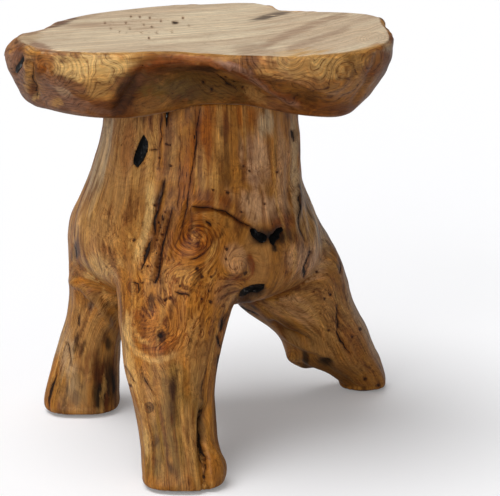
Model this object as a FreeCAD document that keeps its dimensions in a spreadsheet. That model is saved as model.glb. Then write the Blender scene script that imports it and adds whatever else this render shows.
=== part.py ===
import FreeCAD, Part
import math
import os

# A rustic stool: a live-edge slab seat, pegged and dowelled onto a root stump that stands on three root legs.
# The frame: +Z up, the floor at Z = 0, the front of the stool towards -Y, the origin under the middle.
# Every length is in millimetres.

# Sizes that each stand for one measure
SIZES = {
    "stool_height": 420,
    "seat_reach": 180,
    "seat_thickness": 64,
    "seat_hip_rise": 16,
    "seat_flank_rise": 28,
    "seat_belly_drop": 26,
    "seat_neck_drop": 15,
    "seat_lip_drop": 8,
    "seat_belly": 2,
    "stump_axis_x": -6,
    "stump_axis_y": 21,
    "leg_overlap": 130,
    "foot_round": 4,
    "pad_thickness": 3,
    "pad_radius": 17,
    "peg_radius": 16,
    "peg_in_seat": 34,
    "peg_in_stump": 46,
    "dowel_radius": 6,
    "dowel_in_seat": 26,
    "dowel_in_stump": 30,
    "dowel_ring": 62,
    "glue_gap": 0.1,
    "bore_relief": 0.5,
    "fill_gap": 0.1,
}

# The live edge, every 15 degrees from +X towards +Y: how far the rim lies outside the seat's reach
# from the origin, how far the underside draws in beneath it, and the rounding of the top's edge
SEAT_EDGE = [
    (0, 38, 6), (5, 34, 6), (15, 30, 6), (-12, 22, 5), (-30, 18, 5), (14, 26, 5),
    (3, 30, 5), (-3, 28, 6), (-12, 24, 7), (-14, 22, 9), (-13, 22, 10), (-10, 20, 12),
    (-2, 17, 13), (19, 16, 12), (25, 22, 9), (24, 28, 6), (7, 40, 5), (-11, 76, 4),
    (-5, 97, 4), (14, 112, 4), (24, 100, 4), (24, 38, 4), (19, 36, 4), (6, 38, 5),
]
SEAT_STEP = 360 / len(SEAT_EDGE)
# The shares of the undercut that are left at the hip, the flank and the belly, where the side swells
SEAT_HIP_SHARE = 0.5
SEAT_FLANK_SHARE = 0.28
SEAT_BELLY_SHARE = 0.12
# The recess in the front of the live edge, by the edge's index: how far the lip lies below the top,
# and how hollow the side is there, from 0 for a swelling side to 1 for a full recess
SEAT_RECESS = {
    16: (24, 0.15),
    17: (11, 0.95),
    18: (8, 1.0),
    19: (15, 1.0),
    20: (32, 0.75),
}
# Below the lip the recess cuts in as this power of the way down to the underside
SEAT_RECESS_POWER = 0.45

# The trunk's sections, from its sawn top down: the step from the section above,
# and the reach from the stump's axis to the left, right, front and back
TRUNK_COLLAR = (98, 92, 95, 95)
TRUNK = {
    "waist": (60, 107, 99, 99, 99),
    "girth": (42, 121, 103, 106, 105),
    "flare": (34, 131, 115, 114, 112),
    "hip": (30, 129, 119, 116, 112),
    "skirt": (30, 106, 104, 95, 95),
    "arch": (19, 72, 74, 64, 63),
}

# The legs' sections: the centre of each in X and Y, and half its width and half its depth
LEGS = {
    "left": {
        "foot": (-139, 73, 36, 37),
        "ankle": (-134, 75, 35, 36),
        "knee": (-124, 70, 33, 40),
        "thigh": (-103, 57, 48, 52),
        "hip": (-76, 46, 66, 63),
        "root": (-38, 30, 62, 60),
    },
    "front": {
        "foot": (-24, -155, 38, 38),
        "ankle": (-28, -143, 37, 39),
        "knee": (-34, -123, 43, 44),
        "thigh": (-35, -90, 55, 54),
        "hip": (-19, -47, 66, 61),
        "root": (-12, -5, 70, 66),
    },
    "right": {
        "foot": (167, 136, 26, 26),
        "ankle": (151, 125, 36, 32),
        "shin": (136, 115, 46, 38),
        "knee": (128, 108, 48, 42),
        "calf": (113, 98, 53, 48),
        "thigh": (92, 84, 62, 53),
        "groin": (84, 77, 64, 56),
        "hip": (58, 68, 60, 59),
        "loin": (36, 54, 61, 59),
        "root": (16, 40, 60, 58),
    },
}
# The share of the rise from pad to root at which each of a leg's sections lies
LEG_SHARES = {
    "left": (0.022, 0.168, 0.336, 0.56, 0.80, 1.0),
    "front": (0.022, 0.168, 0.336, 0.56, 0.80, 1.0),
    "right": (0.022, 0.101, 0.157, 0.213, 0.302, 0.407, 0.489, 0.746, 0.873, 1.0),
}
# Round swellings where the outer legs leave the trunk: the middle in X and Y and below the joint
# with the seat, and the radius
SHOULDERS = {
    "left_shoulder": (-112, 46, 203, 25),
    "right_shoulder": (108, 62, 203, 25),
}
# Low swellings on the stump's front: the middle in X and below the joint with the seat, half the width,
# height and depth of the egg that makes each, and how far it stands out of the face
SWELLS = {
    "burl": (-10, 125, 30, 30, 14, 5),
    "boss": (33, 155, 21, 21, 12, 5),
    "knee": (-53, 210, 44, 44, 14, 4),
}
# The round toe on the front foot, its middle above the sole
TOE = {
    "toe_x": 3,
    "toe_y": -166,
    "toe_rise": 16,
    "toe_radius": 15,
}

# Black resin in the knots and cracks: how far each lies from the middle in X and below the joint
# with the seat, and its half sizes along X and Z and into the wood
KNOTS = {
    "left_knot": (51, 131, 6, 6, 8),
    "right_knot": (70, 132, 7, 5, 8),
    "crotch": (48, 188, 11, 5, 12),
}
SLIT = {
    "slit_turn": 214,
    "slit_drop": 18,
    "slit_half_width": 4,
    "slit_half_height": 9,
    "slit_depth": 7,
}
KIDNEY_SIZES = {
    "kidney_x": -65,
    "kidney_drop": 49,
    "kidney_depth": 12,
    "shake_x": -44,
    "shake_width": 5,
    "shake_length": 27,
    "shake_depth": 14,
}
# The kidney's outline round its middle, X to the right and Z up
KIDNEY = [(3, 15), (7, 5), (4, -6), (-3, -16), (-7, -6), (-2, 4)]

# The three dowels stand evenly round the peg, from the first one's bearing on
DOWELS = ("right", "back", "left")
FIRST_DOWEL_DEGREES = -30

EDGE_PARTS = ("swell", "undercut", "round")
RECESS_PARTS = ("recess_drop", "hollow")
SIDES = ("left", "right", "front", "back")
TRUNK_PARTS = ("step",) + SIDES
LEG_PARTS = ("x", "y", "wide", "deep")
SHOULDER_PARTS = ("x", "y", "drop", "radius")
SWELL_PARTS = ("x", "drop", "half_width", "half_height", "depth", "rise")
KNOT_PARTS = ("x", "drop", "half_width", "half_height", "depth")

doc = FreeCAD.newDocument("StumpStool")
sheet = doc.addObject("Spreadsheet::Sheet", "Sizes")


def every_size():
    """Yield each driving dimension as its alias and value."""
    yield from SIZES.items()
    yield from SLIT.items()
    yield from KIDNEY_SIZES.items()
    yield from TOE.items()
    for index, values in enumerate(SEAT_EDGE):
        for part, value in zip(EDGE_PARTS, values):
            yield f"seat_{part}_{index}", value
    for side, value in zip(SIDES, TRUNK_COLLAR):
        yield f"trunk_collar_{side}", value
    for station, values in TRUNK.items():
        for part, value in zip(TRUNK_PARTS, values):
            yield f"trunk_{station}_{part}", value
    for leg, stations in LEGS.items():
        for station, values in stations.items():
            for part, value in zip(LEG_PARTS, values):
                yield f"{leg}_{station}_{part}", value
    for index, values in SEAT_RECESS.items():
        for part, value in zip(RECESS_PARTS, values):
            yield f"seat_{part}_{index}", value
    for shoulder, values in SHOULDERS.items():
        for part, value in zip(SHOULDER_PARTS, values):
            yield f"{shoulder}_{part}", value
    for swell, values in SWELLS.items():
        for part, value in zip(SWELL_PARTS, values):
            yield f"{swell}_{part}", value
    for knot, values in KNOTS.items():
        for part, value in zip(KNOT_PARTS, values):
            yield f"{knot}_{part}", value
    for index, side in enumerate(DOWELS):
        yield f"dowel_{side}_bearing", FIRST_DOWEL_DEGREES + index * 360 / len(DOWELS)


for row, (alias, value) in enumerate(every_size(), start=1):
    sheet.set(f"A{row}", alias)
    sheet.set(f"B{row}", str(value))
    sheet.setAlias(f"B{row}", alias)
doc.recompute()


def size(alias):
    """Give a driving dimension's value from the sheet."""
    return float(sheet.get(alias))


def bind(obj, **expressions):
    """Bind properties of an object to sheet expressions; a double underscore stands for a dot."""
    for name, expression in expressions.items():
        obj.setExpression(name.replace("__", "."), expression)


def section(name, points):
    """Make a closed smooth curve through points."""
    curve = Part.BSplineCurve()
    curve.interpolate(Points=[FreeCAD.Vector(*point) for point in points], PeriodicFlag=True)
    feature = doc.addObject("Part::Feature", name)
    feature.Shape = Part.Wire([curve.toShape()])
    return feature


def ring(name, centre_x, centre_y, z, right, back, left, front):
    """Make a closed curve through eight points of an oval with its own reach on each side."""
    points = []
    for step in range(8):
        turn = math.radians(45 * step)
        reach_x = right if math.cos(turn) > 0 else left
        reach_y = back if math.sin(turn) > 0 else front
        points.append((centre_x + reach_x * math.cos(turn), centre_y + reach_y * math.sin(turn), z))
    return section(name, points)


def loft(name, sections):
    """Make a solid that runs smoothly through sections."""
    solid = doc.addObject("Part::Loft", name)
    solid.Sections = sections
    solid.Solid = True
    solid.Ruled = False
    solid.MaxDegree = 3
    return solid


def rod(name, x, y, z, radius, height):
    """Make an upright cylinder from sheet expressions."""
    cylinder = doc.addObject("Part::Cylinder", name)
    bind(
        cylinder,
        Radius=radius,
        Height=height,
        Placement__Base__x=x,
        Placement__Base__y=y,
        Placement__Base__z=z,
    )
    return cylinder


def boolean(kind, name, base, tool):
    """Make a Part::Cut or Part::Common of two objects."""
    result = doc.addObject(kind, name)
    result.Base = base
    result.Tool = tool
    return result


def gather(name, shapes):
    """Fuse several objects into one tool or blank."""
    fused = doc.addObject("Part::MultiFuse", name)
    fused.Shapes = shapes
    return fused


def entry(pieces, start, heading):
    """Find where a line from a point along a heading first meets one of several pieces."""
    line = Part.makeLine(start, start + heading)
    hits = [vertex.Point for piece in pieces for vertex in piece.Shape.common(line).Vertexes]
    return min(hits, key=start.distanceToPoint)


# Heights that follow from the driving dimensions
stool_top = size("stool_height")
seat_underside = stool_top - size("seat_thickness")
pad_top = size("pad_thickness")
axis_x = size("stump_axis_x")
axis_y = size("stump_axis_y")
arch_z = seat_underside - sum(size(f"trunk_{station}_step") for station in TRUNK)
leg_rise = arch_z + size("leg_overlap") - pad_top
UNDERSIDE = "Sizes.stool_height - Sizes.seat_thickness"


# The seat slab: outlines from the drawn-in underside through the belly to the flat top
def undercut_share(index, z, swell_share):
    """Give the share of the undercut that is taken at a bearing and height: the swelling side's share,
    or the recess's where the side is hollow."""
    if index not in SEAT_RECESS:
        return swell_share
    lip = stool_top - size(f"seat_recess_drop_{index}")
    below = max(0.0, (lip - z) / (lip - seat_underside))
    hollow = size(f"seat_hollow_{index}")
    return swell_share + hollow * (below**SEAT_RECESS_POWER - swell_share)


def round_inset(radius, drop):
    """Give how far a rounding of the top's edge draws in at a distance below the top."""
    rise = max(0.0, radius - drop)
    return radius - math.sqrt(radius**2 - rise**2)


def seat_outline(name, z, swell_share, outward):
    """Make the slab's outline at a height: the rim, moved outward and drawn in by a share of the undercut
    and by the rounding of the top's edge."""
    points = []
    for index in range(len(SEAT_EDGE)):
        turn = math.radians(index * SEAT_STEP)
        rim = size("seat_reach") + size(f"seat_swell_{index}")
        inset = undercut_share(index, z, swell_share) * size(f"seat_undercut_{index}")
        reach = rim + outward - inset - round_inset(size(f"seat_round_{index}"), stool_top - z)
        points.append((reach * math.cos(turn), reach * math.sin(turn), z))
    return section(name, points)


belly = size("seat_belly")
seat_blank = loft(
    "SeatBlank",
    [
        seat_outline("SeatUnderside", seat_underside, 1.0, 0),
        seat_outline("SeatHip", seat_underside + size("seat_hip_rise"), SEAT_HIP_SHARE, 0),
        seat_outline("SeatFlank", seat_underside + size("seat_flank_rise"), SEAT_FLANK_SHARE, belly / 2),
        seat_outline("SeatBelly", stool_top - size("seat_belly_drop"), SEAT_BELLY_SHARE, belly),
        seat_outline("SeatNeck", stool_top - size("seat_neck_drop"), 0.0, belly),
        seat_outline("SeatLip", stool_top - size("seat_lip_drop"), 0.0, belly),
        seat_outline("SeatTop", stool_top, 0.0, belly),
    ],
)


# The root stump: the trunk, its three legs and their swellings grown into one
def trunk_sections():
    """Make the trunk's sections round the stump's axis, from the sawn top down."""
    z = seat_underside
    sections = []
    for station in ("collar", *TRUNK):
        if station != "collar":
            z -= size(f"trunk_{station}_step")
        left, right, front, back = (size(f"trunk_{station}_{side}") for side in SIDES)
        sections.append(ring(f"Trunk_{station}", axis_x, axis_y, z, right, back, left, front))
    return sections


def leg_sections(leg):
    """Make a leg's sections from its rounded sole up to its root inside the trunk."""
    rounding = size("foot_round")
    x, y, wide, deep = (size(f"{leg}_foot_{part}") for part in LEG_PARTS)
    wide, deep = wide - rounding, deep - rounding
    sections = [ring(f"{leg}_sole", x, y, pad_top, wide, deep, wide, deep)]
    for station, share in zip(LEGS[leg], LEG_SHARES[leg]):
        x, y, wide, deep = (size(f"{leg}_{station}_{part}") for part in LEG_PARTS)
        sections.append(ring(f"{leg}_{station}", x, y, pad_top + share * leg_rise, wide, deep, wide, deep))
    return sections


def round_swelling(name, z):
    """Make a round swelling, bound to its own sizes, at a height from a sheet expression."""
    ball = doc.addObject("Part::Sphere", name)
    bind(
        ball,
        Radius=f"Sizes.{name}_radius",
        Placement__Base__x=f"Sizes.{name}_x",
        Placement__Base__y=f"Sizes.{name}_y",
        Placement__Base__z=z,
    )
    return ball


trunk = loft("Trunk", trunk_sections())
legs = [loft(f"Leg_{leg}", leg_sections(leg)) for leg in LEGS]
FORWARD = FreeCAD.Vector(0, 1, 0)
# A distance that is surely outside the stool
LOOK = 2 * stool_top


def face_y(pieces, x, z):
    """Give the Y of the front face of several pieces grown into one, at X and Z."""
    start = FreeCAD.Vector(x, -LOOK, z)
    return entry(pieces, start, FORWARD * (2 * LOOK)).y


def egg(name, part, shrink="0"):
    """Make an egg bound to a part's sizes: half its height along Z and width along X, its depth along Y."""
    solid = doc.addObject("Part::Ellipsoid", name)
    bind(
        solid,
        Radius1=f"Sizes.{part}_half_height - {shrink}",
        Radius2=f"Sizes.{part}_half_width - {shrink}",
        Radius3=f"Sizes.{part}_depth - {shrink}",
    )
    return solid


def low_swelling(name):
    """Make a swelling that stands a little out of the limbs' front face."""
    x, z = size(f"{name}_x"), seat_underside - size(f"{name}_drop")
    middle = face_y(limbs, x, z) + size(f"{name}_depth") - size(f"{name}_rise")
    solid = egg(name, name)
    solid.Placement = FreeCAD.Placement(FreeCAD.Vector(x, middle, z), FreeCAD.Rotation())
    return solid


bulges = [round_swelling(name, f"{UNDERSIDE} - Sizes.{name}_drop") for name in SHOULDERS]
bulges.append(round_swelling("toe", "Sizes.pad_thickness + Sizes.toe_rise"))
limbs = [trunk] + legs + bulges
doc.recompute()
growths = limbs + [low_swelling(name) for name in SWELLS]
stump_blank = gather("StumpBlank", growths)
doc.recompute()


# The hidden joinery: one peg on the stump's axis and three dowels round it, glued into blind bores
def pin(name, x, y, radius, in_seat, in_stump):
    """Make a pin across the joint face, with the bore that it is glued into on either side."""
    start = f"{UNDERSIDE} - Sizes.{in_stump}"
    length = f"Sizes.{in_stump} + Sizes.{in_seat}"
    solid = rod(name, x, y, start, f"Sizes.{radius}", length)
    bore = rod(
        f"{name}_bore",
        x,
        y,
        f"{start} - Sizes.bore_relief",
        f"Sizes.{radius} + Sizes.glue_gap",
        f"{length} + 2 * Sizes.bore_relief",
    )
    return solid, bore


pins = {"centre_peg": pin("centre_peg", "Sizes.stump_axis_x", "Sizes.stump_axis_y", "peg_radius",
                          "peg_in_seat", "peg_in_stump")}
for side in DOWELS:
    across = f"Sizes.stump_axis_x + Sizes.dowel_ring * cos(Sizes.dowel_{side}_bearing * 1 deg)"
    along = f"Sizes.stump_axis_y + Sizes.dowel_ring * sin(Sizes.dowel_{side}_bearing * 1 deg)"
    pins[f"seat_dowel_{side}"] = pin(f"seat_dowel_{side}", across, along, "dowel_radius",
                                     "dowel_in_seat", "dowel_in_stump")

# The felt discs under the feet
pads = {}
for leg in LEGS:
    pads[f"foot_pad_{leg}"] = rod(f"foot_pad_{leg}", f"Sizes.{leg}_foot_x", f"Sizes.{leg}_foot_y", "0 mm",
                                  "Sizes.pad_radius", "Sizes.pad_thickness")


# The resin fills: each is a tool's overlap with the blank, and its pocket is the same tool a little larger
def knot_tool(name, knot, shrink):
    """Make an egg-shaped hollow on the stump's front face, bound to its own sizes."""
    x, z = size(f"{knot}_x"), seat_underside - size(f"{knot}_drop")
    hollow = egg(name, knot, shrink)
    hollow.Placement = FreeCAD.Placement(FreeCAD.Vector(x, face_y(growths, x, z), z), FreeCAD.Rotation())
    return hollow


def slit_tool(name, shrink):
    """Make the upright egg-shaped slit in the left end of the slab."""
    turn = math.radians(size("slit_turn"))
    outward = FreeCAD.Vector(math.cos(turn), math.sin(turn), 0)
    start = outward * LOOK + FreeCAD.Vector(0, 0, stool_top - size("slit_drop"))
    hollow = egg(name, "slit", shrink)
    spin = FreeCAD.Rotation(FreeCAD.Vector(0, 0, 1), size("slit_turn") + 90)
    hollow.Placement = FreeCAD.Placement(entry([seat_blank], start, outward * -LOOK), spin)
    return hollow


def pocket_prism(name, outline, x, z, depth):
    """Make a prism that runs from in front of the stump to a depth behind its front face."""
    front = face_y(growths, x, z) - size("trunk_collar_front")
    prism = doc.addObject("Part::Feature", name)
    wire = Part.Face(outline)
    wire.translate(FreeCAD.Vector(x, front, z))
    prism.Shape = wire.extrude(FORWARD * (size("trunk_collar_front") + depth))
    return prism


def kidney_tool(name, shrink):
    """Make the kidney-shaped hollow from its outline, each point drawn in towards the middle."""
    points = []
    for x, z in KIDNEY:
        share = 1 - shrink / math.hypot(x, z)
        points.append(FreeCAD.Vector(x * share, 0, z * share))
    curve = Part.BSplineCurve()
    curve.interpolate(Points=points, PeriodicFlag=True)
    outline = Part.Wire([curve.toShape()])
    middle_z = seat_underside - size("kidney_drop")
    return pocket_prism(name, outline, size("kidney_x"), middle_z, size("kidney_depth") - shrink)


def shake_tool(name, shrink):
    """Make the wedge-shaped crack that narrows down from the stump's sawn top."""
    half = size("shake_width") / 2 - shrink
    length = size("shake_length") - shrink
    corners = ((-half, 0), (half, 0), (0, -length), (-half, 0))
    outline = Part.makePolygon([FreeCAD.Vector(x, 0, z) for x, z in corners])
    below_top = seat_underside - size("glue_gap")
    return pocket_prism(name, outline, size("shake_x"), below_top, size("shake_depth") - shrink)


gap = size("fill_gap")
stump_fills = {}
stump_pockets = []
for knot in KNOTS:
    stump_pockets.append(knot_tool(f"{knot}_pocket", knot, "0"))
    fill = knot_tool(f"{knot}_tool", knot, "Sizes.fill_gap")
    stump_fills[f"{knot}_fill"] = boolean("Part::Common", f"{knot}_fill", stump_blank, fill)
for name, make in (("kidney_knot", kidney_tool), ("shake", shake_tool)):
    stump_pockets.append(make(f"{name}_pocket", 0))
    fill = make(f"{name}_tool", gap)
    stump_fills[f"{name}_fill"] = boolean("Part::Common", f"{name}_fill", stump_blank, fill)
slit_fill = boolean("Part::Common", "slit_fill", seat_blank, slit_tool("slit_tool", "Sizes.fill_gap"))

bores = [bore for _, bore in pins.values()]
stump_cuts = gather("StumpCuts", bores + stump_pockets)
root_stump = boolean("Part::Cut", "root_stump", stump_blank, stump_cuts)
seat_cuts = gather("SeatCuts", bores + [slit_tool("slit_pocket", "0")])
seat_slab = boolean("Part::Cut", "seat_slab", seat_blank, seat_cuts)
doc.recompute()

# Each sub-part, by the name of its node
sub_parts = {"seat_slab": seat_slab, "root_stump": root_stump, "slit_fill": slit_fill}
sub_parts.update(stump_fills)
sub_parts.update({name: solid for name, (solid, _) in pins.items()})
sub_parts.update(pads)

for obj in doc.Objects:
    if "Invalid" in obj.State or "Error" in obj.State:
        raise RuntimeError(f"{obj.Label} failed: {obj.State}")
for name, obj in sub_parts.items():
    obj.Label = name
    shape = obj.Shape
    if shape.isNull() or not shape.isValid() or len(shape.Solids) != 1 or shape.Volume <= 0:
        raise RuntimeError(f"{name} is not one valid solid")

os.makedirs("parts", exist_ok=True)
for name, obj in sub_parts.items():
    obj.Shape.exportStep(f"parts/{name}.step")
    print(f"{name}: {obj.Shape.Volume / 1000:.2f} cm3")
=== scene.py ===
import math

import bpy
import numpy as np
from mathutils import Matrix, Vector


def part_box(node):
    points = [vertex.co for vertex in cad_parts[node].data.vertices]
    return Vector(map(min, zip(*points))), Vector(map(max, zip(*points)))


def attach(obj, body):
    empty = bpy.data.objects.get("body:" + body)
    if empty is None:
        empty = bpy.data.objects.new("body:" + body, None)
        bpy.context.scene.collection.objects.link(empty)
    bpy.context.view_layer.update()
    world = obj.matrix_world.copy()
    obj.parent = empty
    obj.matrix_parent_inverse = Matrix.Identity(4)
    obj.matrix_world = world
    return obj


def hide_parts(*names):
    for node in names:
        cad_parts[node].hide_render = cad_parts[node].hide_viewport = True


# The looks of a rustic stump stool: a live-edge slab seat on a root stump with three root legs.
# Shapes are worked out in millimetres in the part's own frame, and become metres in the mesh.
# Marks that the front shows are placed by pixels of the photo, through the camera that was fitted to it.

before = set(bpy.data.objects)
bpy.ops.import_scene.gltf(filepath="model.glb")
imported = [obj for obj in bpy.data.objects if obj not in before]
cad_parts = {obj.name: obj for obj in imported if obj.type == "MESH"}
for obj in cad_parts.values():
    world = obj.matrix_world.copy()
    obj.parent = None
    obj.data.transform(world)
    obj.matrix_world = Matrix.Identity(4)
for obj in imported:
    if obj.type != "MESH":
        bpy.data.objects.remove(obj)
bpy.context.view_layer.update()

MM = 0.001

# The fitted camera, and the photo's frame in pixels
CAMERA_PLACE = np.array([42.5, -1979.0, 702.0])
CAMERA_PITCH = math.radians(14.4)
FOCAL_PIXELS = 2000.0
PHOTO_WIDE = 500
PHOTO_HIGH = 496
LOOK = np.array([0.0, math.cos(CAMERA_PITCH), -math.sin(CAMERA_PITCH)])
LOOK_UP = np.array([0.0, math.sin(CAMERA_PITCH), math.cos(CAMERA_PITCH)])

# Heights that the seat and the stump share
STOOL_TOP = 420.0
JOINT_Z = 356.0
SOLE_Z = 3.0

# The live edge, every 15 degrees from +X towards +Y: how far the rim lies from the origin, how far the
# underside draws in beneath it, the radius that rounds the top's edge, how hollow the side is (0 swells,
# 1 is a recess), the height of the lip above the recess, and how far the underside's edge droops
SEAT_EDGE = [
    (180, 38, 6, 0, 390, 1), (185, 34, 6, 0, 390, 1), (195, 30, 6, 0, 390, 1),
    (168, 22, 5, 0, 390, 0), (150, 18, 5, 0, 390, 0), (194, 26, 5, 0, 390, 0),
    (183, 30, 5, 0, 390, 0), (177, 28, 6, 0, 390, 0), (168, 24, 7, 0, 390, 0),
    (166, 22, 9, 0, 390, 0), (167, 22, 12, 0, 390, 1), (170, 20, 18, 0, 390, 1),
    (178, 17, 24, 0, 390, 1), (199, 16, 20, 0, 390, 1), (205, 22, 10, 0, 390, 1),
    (204, 28, 6, 0, 390, 2), (187, 40, 5, 0.15, 396, 4), (169, 76, 4, 0.95, 409, 3),
    (172, 94, 4, 1, 412, 0), (194, 112, 4, 1, 405, 0), (204, 100, 4, 0.75, 388, 1),
    (204, 38, 4, 0, 380, 5), (199, 36, 4, 0, 390, 5), (186, 38, 5, 0, 390, 3),
]

# The trunk round its upright axis: height, and reach to the left, right, front and back
TRUNK_AXIS = (-6.0, 21.0)
TRUNK = [
    (141, 78, 80, 70, 70),
    (160, 108, 106, 96, 98),
    (190, 129, 119, 116, 112),
    (220, 131, 115, 114, 112),
    (254, 121, 103, 106, 105),
    (296, 107, 99, 99, 99),
    (356, 98, 95, 95, 95),
]

# Each leg from its sole up to its root inside the trunk: height, centre in X and Y, half width, half depth
LEGS = {
    "left": [
        (9, -138, 68, 40, 40), (48, -134, 73, 37, 38), (93, -124, 70, 33, 40),
        (153, -101, 58, 47, 50), (217, -76, 46, 63, 60), (271, -38, 30, 62, 60),
    ],
    "front": [
        (9, -24, -155, 38, 38), (48, -28, -143, 37, 39), (93, -34, -123, 43, 44),
        (153, -32, -88, 56, 53), (217, -22, -47, 65, 60), (271, -12, -5, 70, 66),
    ],
    "right": [
        (9, 167, 136, 26, 26), (30, 151, 125, 36, 32), (45, 136, 115, 46, 38), (60, 128, 108, 48, 42),
        (84, 113, 98, 53, 48), (97, 102, 92, 58, 51), (112, 92, 84, 62, 53), (134, 84, 78, 64, 55),
        (203, 58, 68, 58, 57), (271, 16, 40, 60, 58),
    ],
}
# How the soles are rounded, and how much squarer a leg's section gets between two heights towards its sole
FOOT_ROUND = 4.0
FOOT_SQUARE = 0.8
FOOT_SQUARE_FADE = (60, 5)
# How softly the limbs, the arch beneath the trunk and the limbs' grain run into each other
LIMB_BLEND = 7.0
ARCH_BLEND = 9.0
GRAIN_BLEND = 10.0
# The radius at which the trunk's grain is counted
TRUNK_GRAIN = 115

# Round lumps that the limbs' ovals leave out: centre and radius
LUMPS = {
    "left_shoulder": ((-112, 46, 153), 25),
    "right_shoulder": ((108, 62, 153), 25),
    "toe": ((3, -166, 18), 14),
    "right_heel": ((101, 112, 46), 13),
}

# Wood colours, linear
COLOURS = {
    "cream": (0.70, 0.59, 0.42),
    "sand": (0.59, 0.46, 0.32),
    "straw": (0.72, 0.46, 0.17),
    "gold": (0.58, 0.31, 0.085),
    "honey": (0.38, 0.155, 0.024),
    "tan": (0.41, 0.21, 0.066),
    "rose": (0.62, 0.36, 0.19),
    "amber": (0.28, 0.075, 0.004),
    "rust": (0.21, 0.047, 0.006),
    "chestnut": (0.13, 0.034, 0.006),
    "umber": (0.042, 0.013, 0.004),
    "mauve": (0.25, 0.125, 0.075),
    "plum": (0.11, 0.05, 0.032),
    "olive": (0.20, 0.11, 0.025),
    "moss": (0.12, 0.058, 0.014),
    "slate": (0.13, 0.095, 0.072),
    "ash": (0.50, 0.36, 0.21),
    "soot": (0.008, 0.005, 0.004),
}

# Random patterns: size in millimetres, seed and octaves
NOISES = {
    "drift": (24, 71, 2),
    "wander": (9, 72, 2),
    "stump_ragged": (9, 5, 3),
    "stump_flutes": (17, 21, 2),
    "stump_lumps": (44, 22, 3),
    "stump_burl": (70, 23, 2),
    "stump_tone": (50, 24, 2),
    "seat_lumps": (46, 41, 3),
    "seat_ripples": (16, 42, 2),
    "seat_burl": (60, 43, 2),
    "seat_ragged_top": (9, 45, 3),
    "seat_ragged_side": (5, 46, 3),
}
LATTICE_SIDE = 32
OCTAVE_SHIFT = 5.3
NOISE_GAIN = 1.4

# Sight: the side in pixels of a cell that keeps its nearest depth, how many cells lie along each side, how
# many millimetres behind the nearest depth still count as seen, and the cosine at which sight begins
SIGHT_CELL = 5
SIGHT_CELLS = 121
SIGHT_SLACK = 32
SIGHT_BEGIN = -0.06


# Small tools for curves, fields and random patterns


def ease(low, high, value):
    """Rise smoothly from 0 at low to 1 at high."""
    share = np.clip((value - low) / (high - low), 0, 1)
    return share * share * (3 - 2 * share)


def spline(places, values, period=None):
    """Return a cubic spline through rows of values at places; with a period it closes on itself."""
    places = np.asarray(places, float)
    values = np.asarray(values, float).reshape(len(places), -1)
    if period:
        wrap = len(places) // 2
        places = np.concatenate([places[-wrap:] - period, places, places[:wrap] + period])
        values = np.concatenate([values[-wrap:], values, values[:wrap]])
    gaps = np.diff(places)
    slopes = np.diff(values, axis=0) / gaps[:, None]
    inner = np.arange(1, len(places) - 1)
    system = np.eye(len(places))
    system[inner, inner - 1] = gaps[:-1]
    system[inner, inner] = 2 * (gaps[:-1] + gaps[1:])
    system[inner, inner + 1] = gaps[1:]
    pull = np.zeros_like(values)
    pull[inner] = 6 * np.diff(slopes, axis=0)
    bends = np.linalg.solve(system, pull)

    def curve(at):
        at = np.clip(at, places[0], places[-1])
        index = np.clip(np.searchsorted(places, at) - 1, 0, len(gaps) - 1)
        gap = gaps[index][..., None]
        right = (at - places[index])[..., None] / gap
        left = 1 - right
        bend = (left**3 - left) * bends[index] + (right**3 - right) * bends[index + 1]
        return left * values[index] + right * values[index + 1] + bend * gap**2 / 6

    return curve


def noise(points, size, seed, octaves=2):
    """A smooth random field of about -1 to 1: a seeded lattice of numbers, smoothly joined, in octaves."""
    lattice = np.random.default_rng(seed).uniform(-1, 1, (LATTICE_SIDE,) * 3)
    total = np.zeros(len(points))
    for octave in range(octaves):
        scaled = points * (2**octave / size) + OCTAVE_SHIFT * octave
        base = np.floor(scaled).astype(int)
        part = scaled - base
        part = part * part * (3 - 2 * part)
        for corner in np.ndindex(2, 2, 2):
            weight = np.prod(np.where(corner, part, 1 - part), axis=1)
            cell = (base + corner) % LATTICE_SIDE
            total += weight * lattice[cell[:, 0], cell[:, 1], cell[:, 2]] / 2**octave
    return NOISE_GAIN * total


def unit(vectors):
    """Scale rows to length one."""
    return vectors / np.maximum(np.linalg.norm(vectors, axis=1, keepdims=True), 1e-9)


def photo_pixels(points):
    """Give each point's pixel across and down in the photo, and its depth along the view."""
    offset = points - CAMERA_PLACE
    depth = offset @ LOOK
    across = PHOTO_WIDE / 2 + FOCAL_PIXELS * offset[:, 0] / depth
    down = PHOTO_HIGH / 2 - FOCAL_PIXELS * (offset @ LOOK_UP) / depth
    return np.stack([across, down], axis=1), depth


def photo_sight(points, normals, full):
    """Say from 0 to 1 how well the camera sees each point: nothing lies before it, and it faces the camera,
    fully so where the cosine of the angle reaches a given value."""
    pixels, depth = photo_pixels(points)
    facing = np.sum(normals * unit(CAMERA_PLACE - points), axis=1)
    cell = np.clip((pixels / SIGHT_CELL).astype(int), 0, SIGHT_CELLS - 1)
    nearest = np.full((SIGHT_CELLS, SIGHT_CELLS), np.inf)
    np.minimum.at(nearest, (cell[:, 0], cell[:, 1]), depth)
    clear = depth < nearest[cell[:, 0], cell[:, 1]] + SIGHT_SLACK
    return ease(SIGHT_BEGIN, full, facing) * clear


def make_piece(name, points, faces, finish):
    """Make a smooth mesh from points in millimetres and faces of four corners, or three by a repeat."""
    mesh = bpy.data.meshes.new(name)
    corners = [face[:3] if face[3] == face[2] else face for face in faces.tolist()]
    mesh.from_pydata((points * MM).tolist(), [], corners)
    mesh.polygons.foreach_set("use_smooth", np.ones(len(mesh.polygons), bool))
    mesh.materials.append(finish)
    piece = bpy.data.objects.new(name, mesh)
    bpy.context.scene.collection.objects.link(piece)
    return piece


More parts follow.
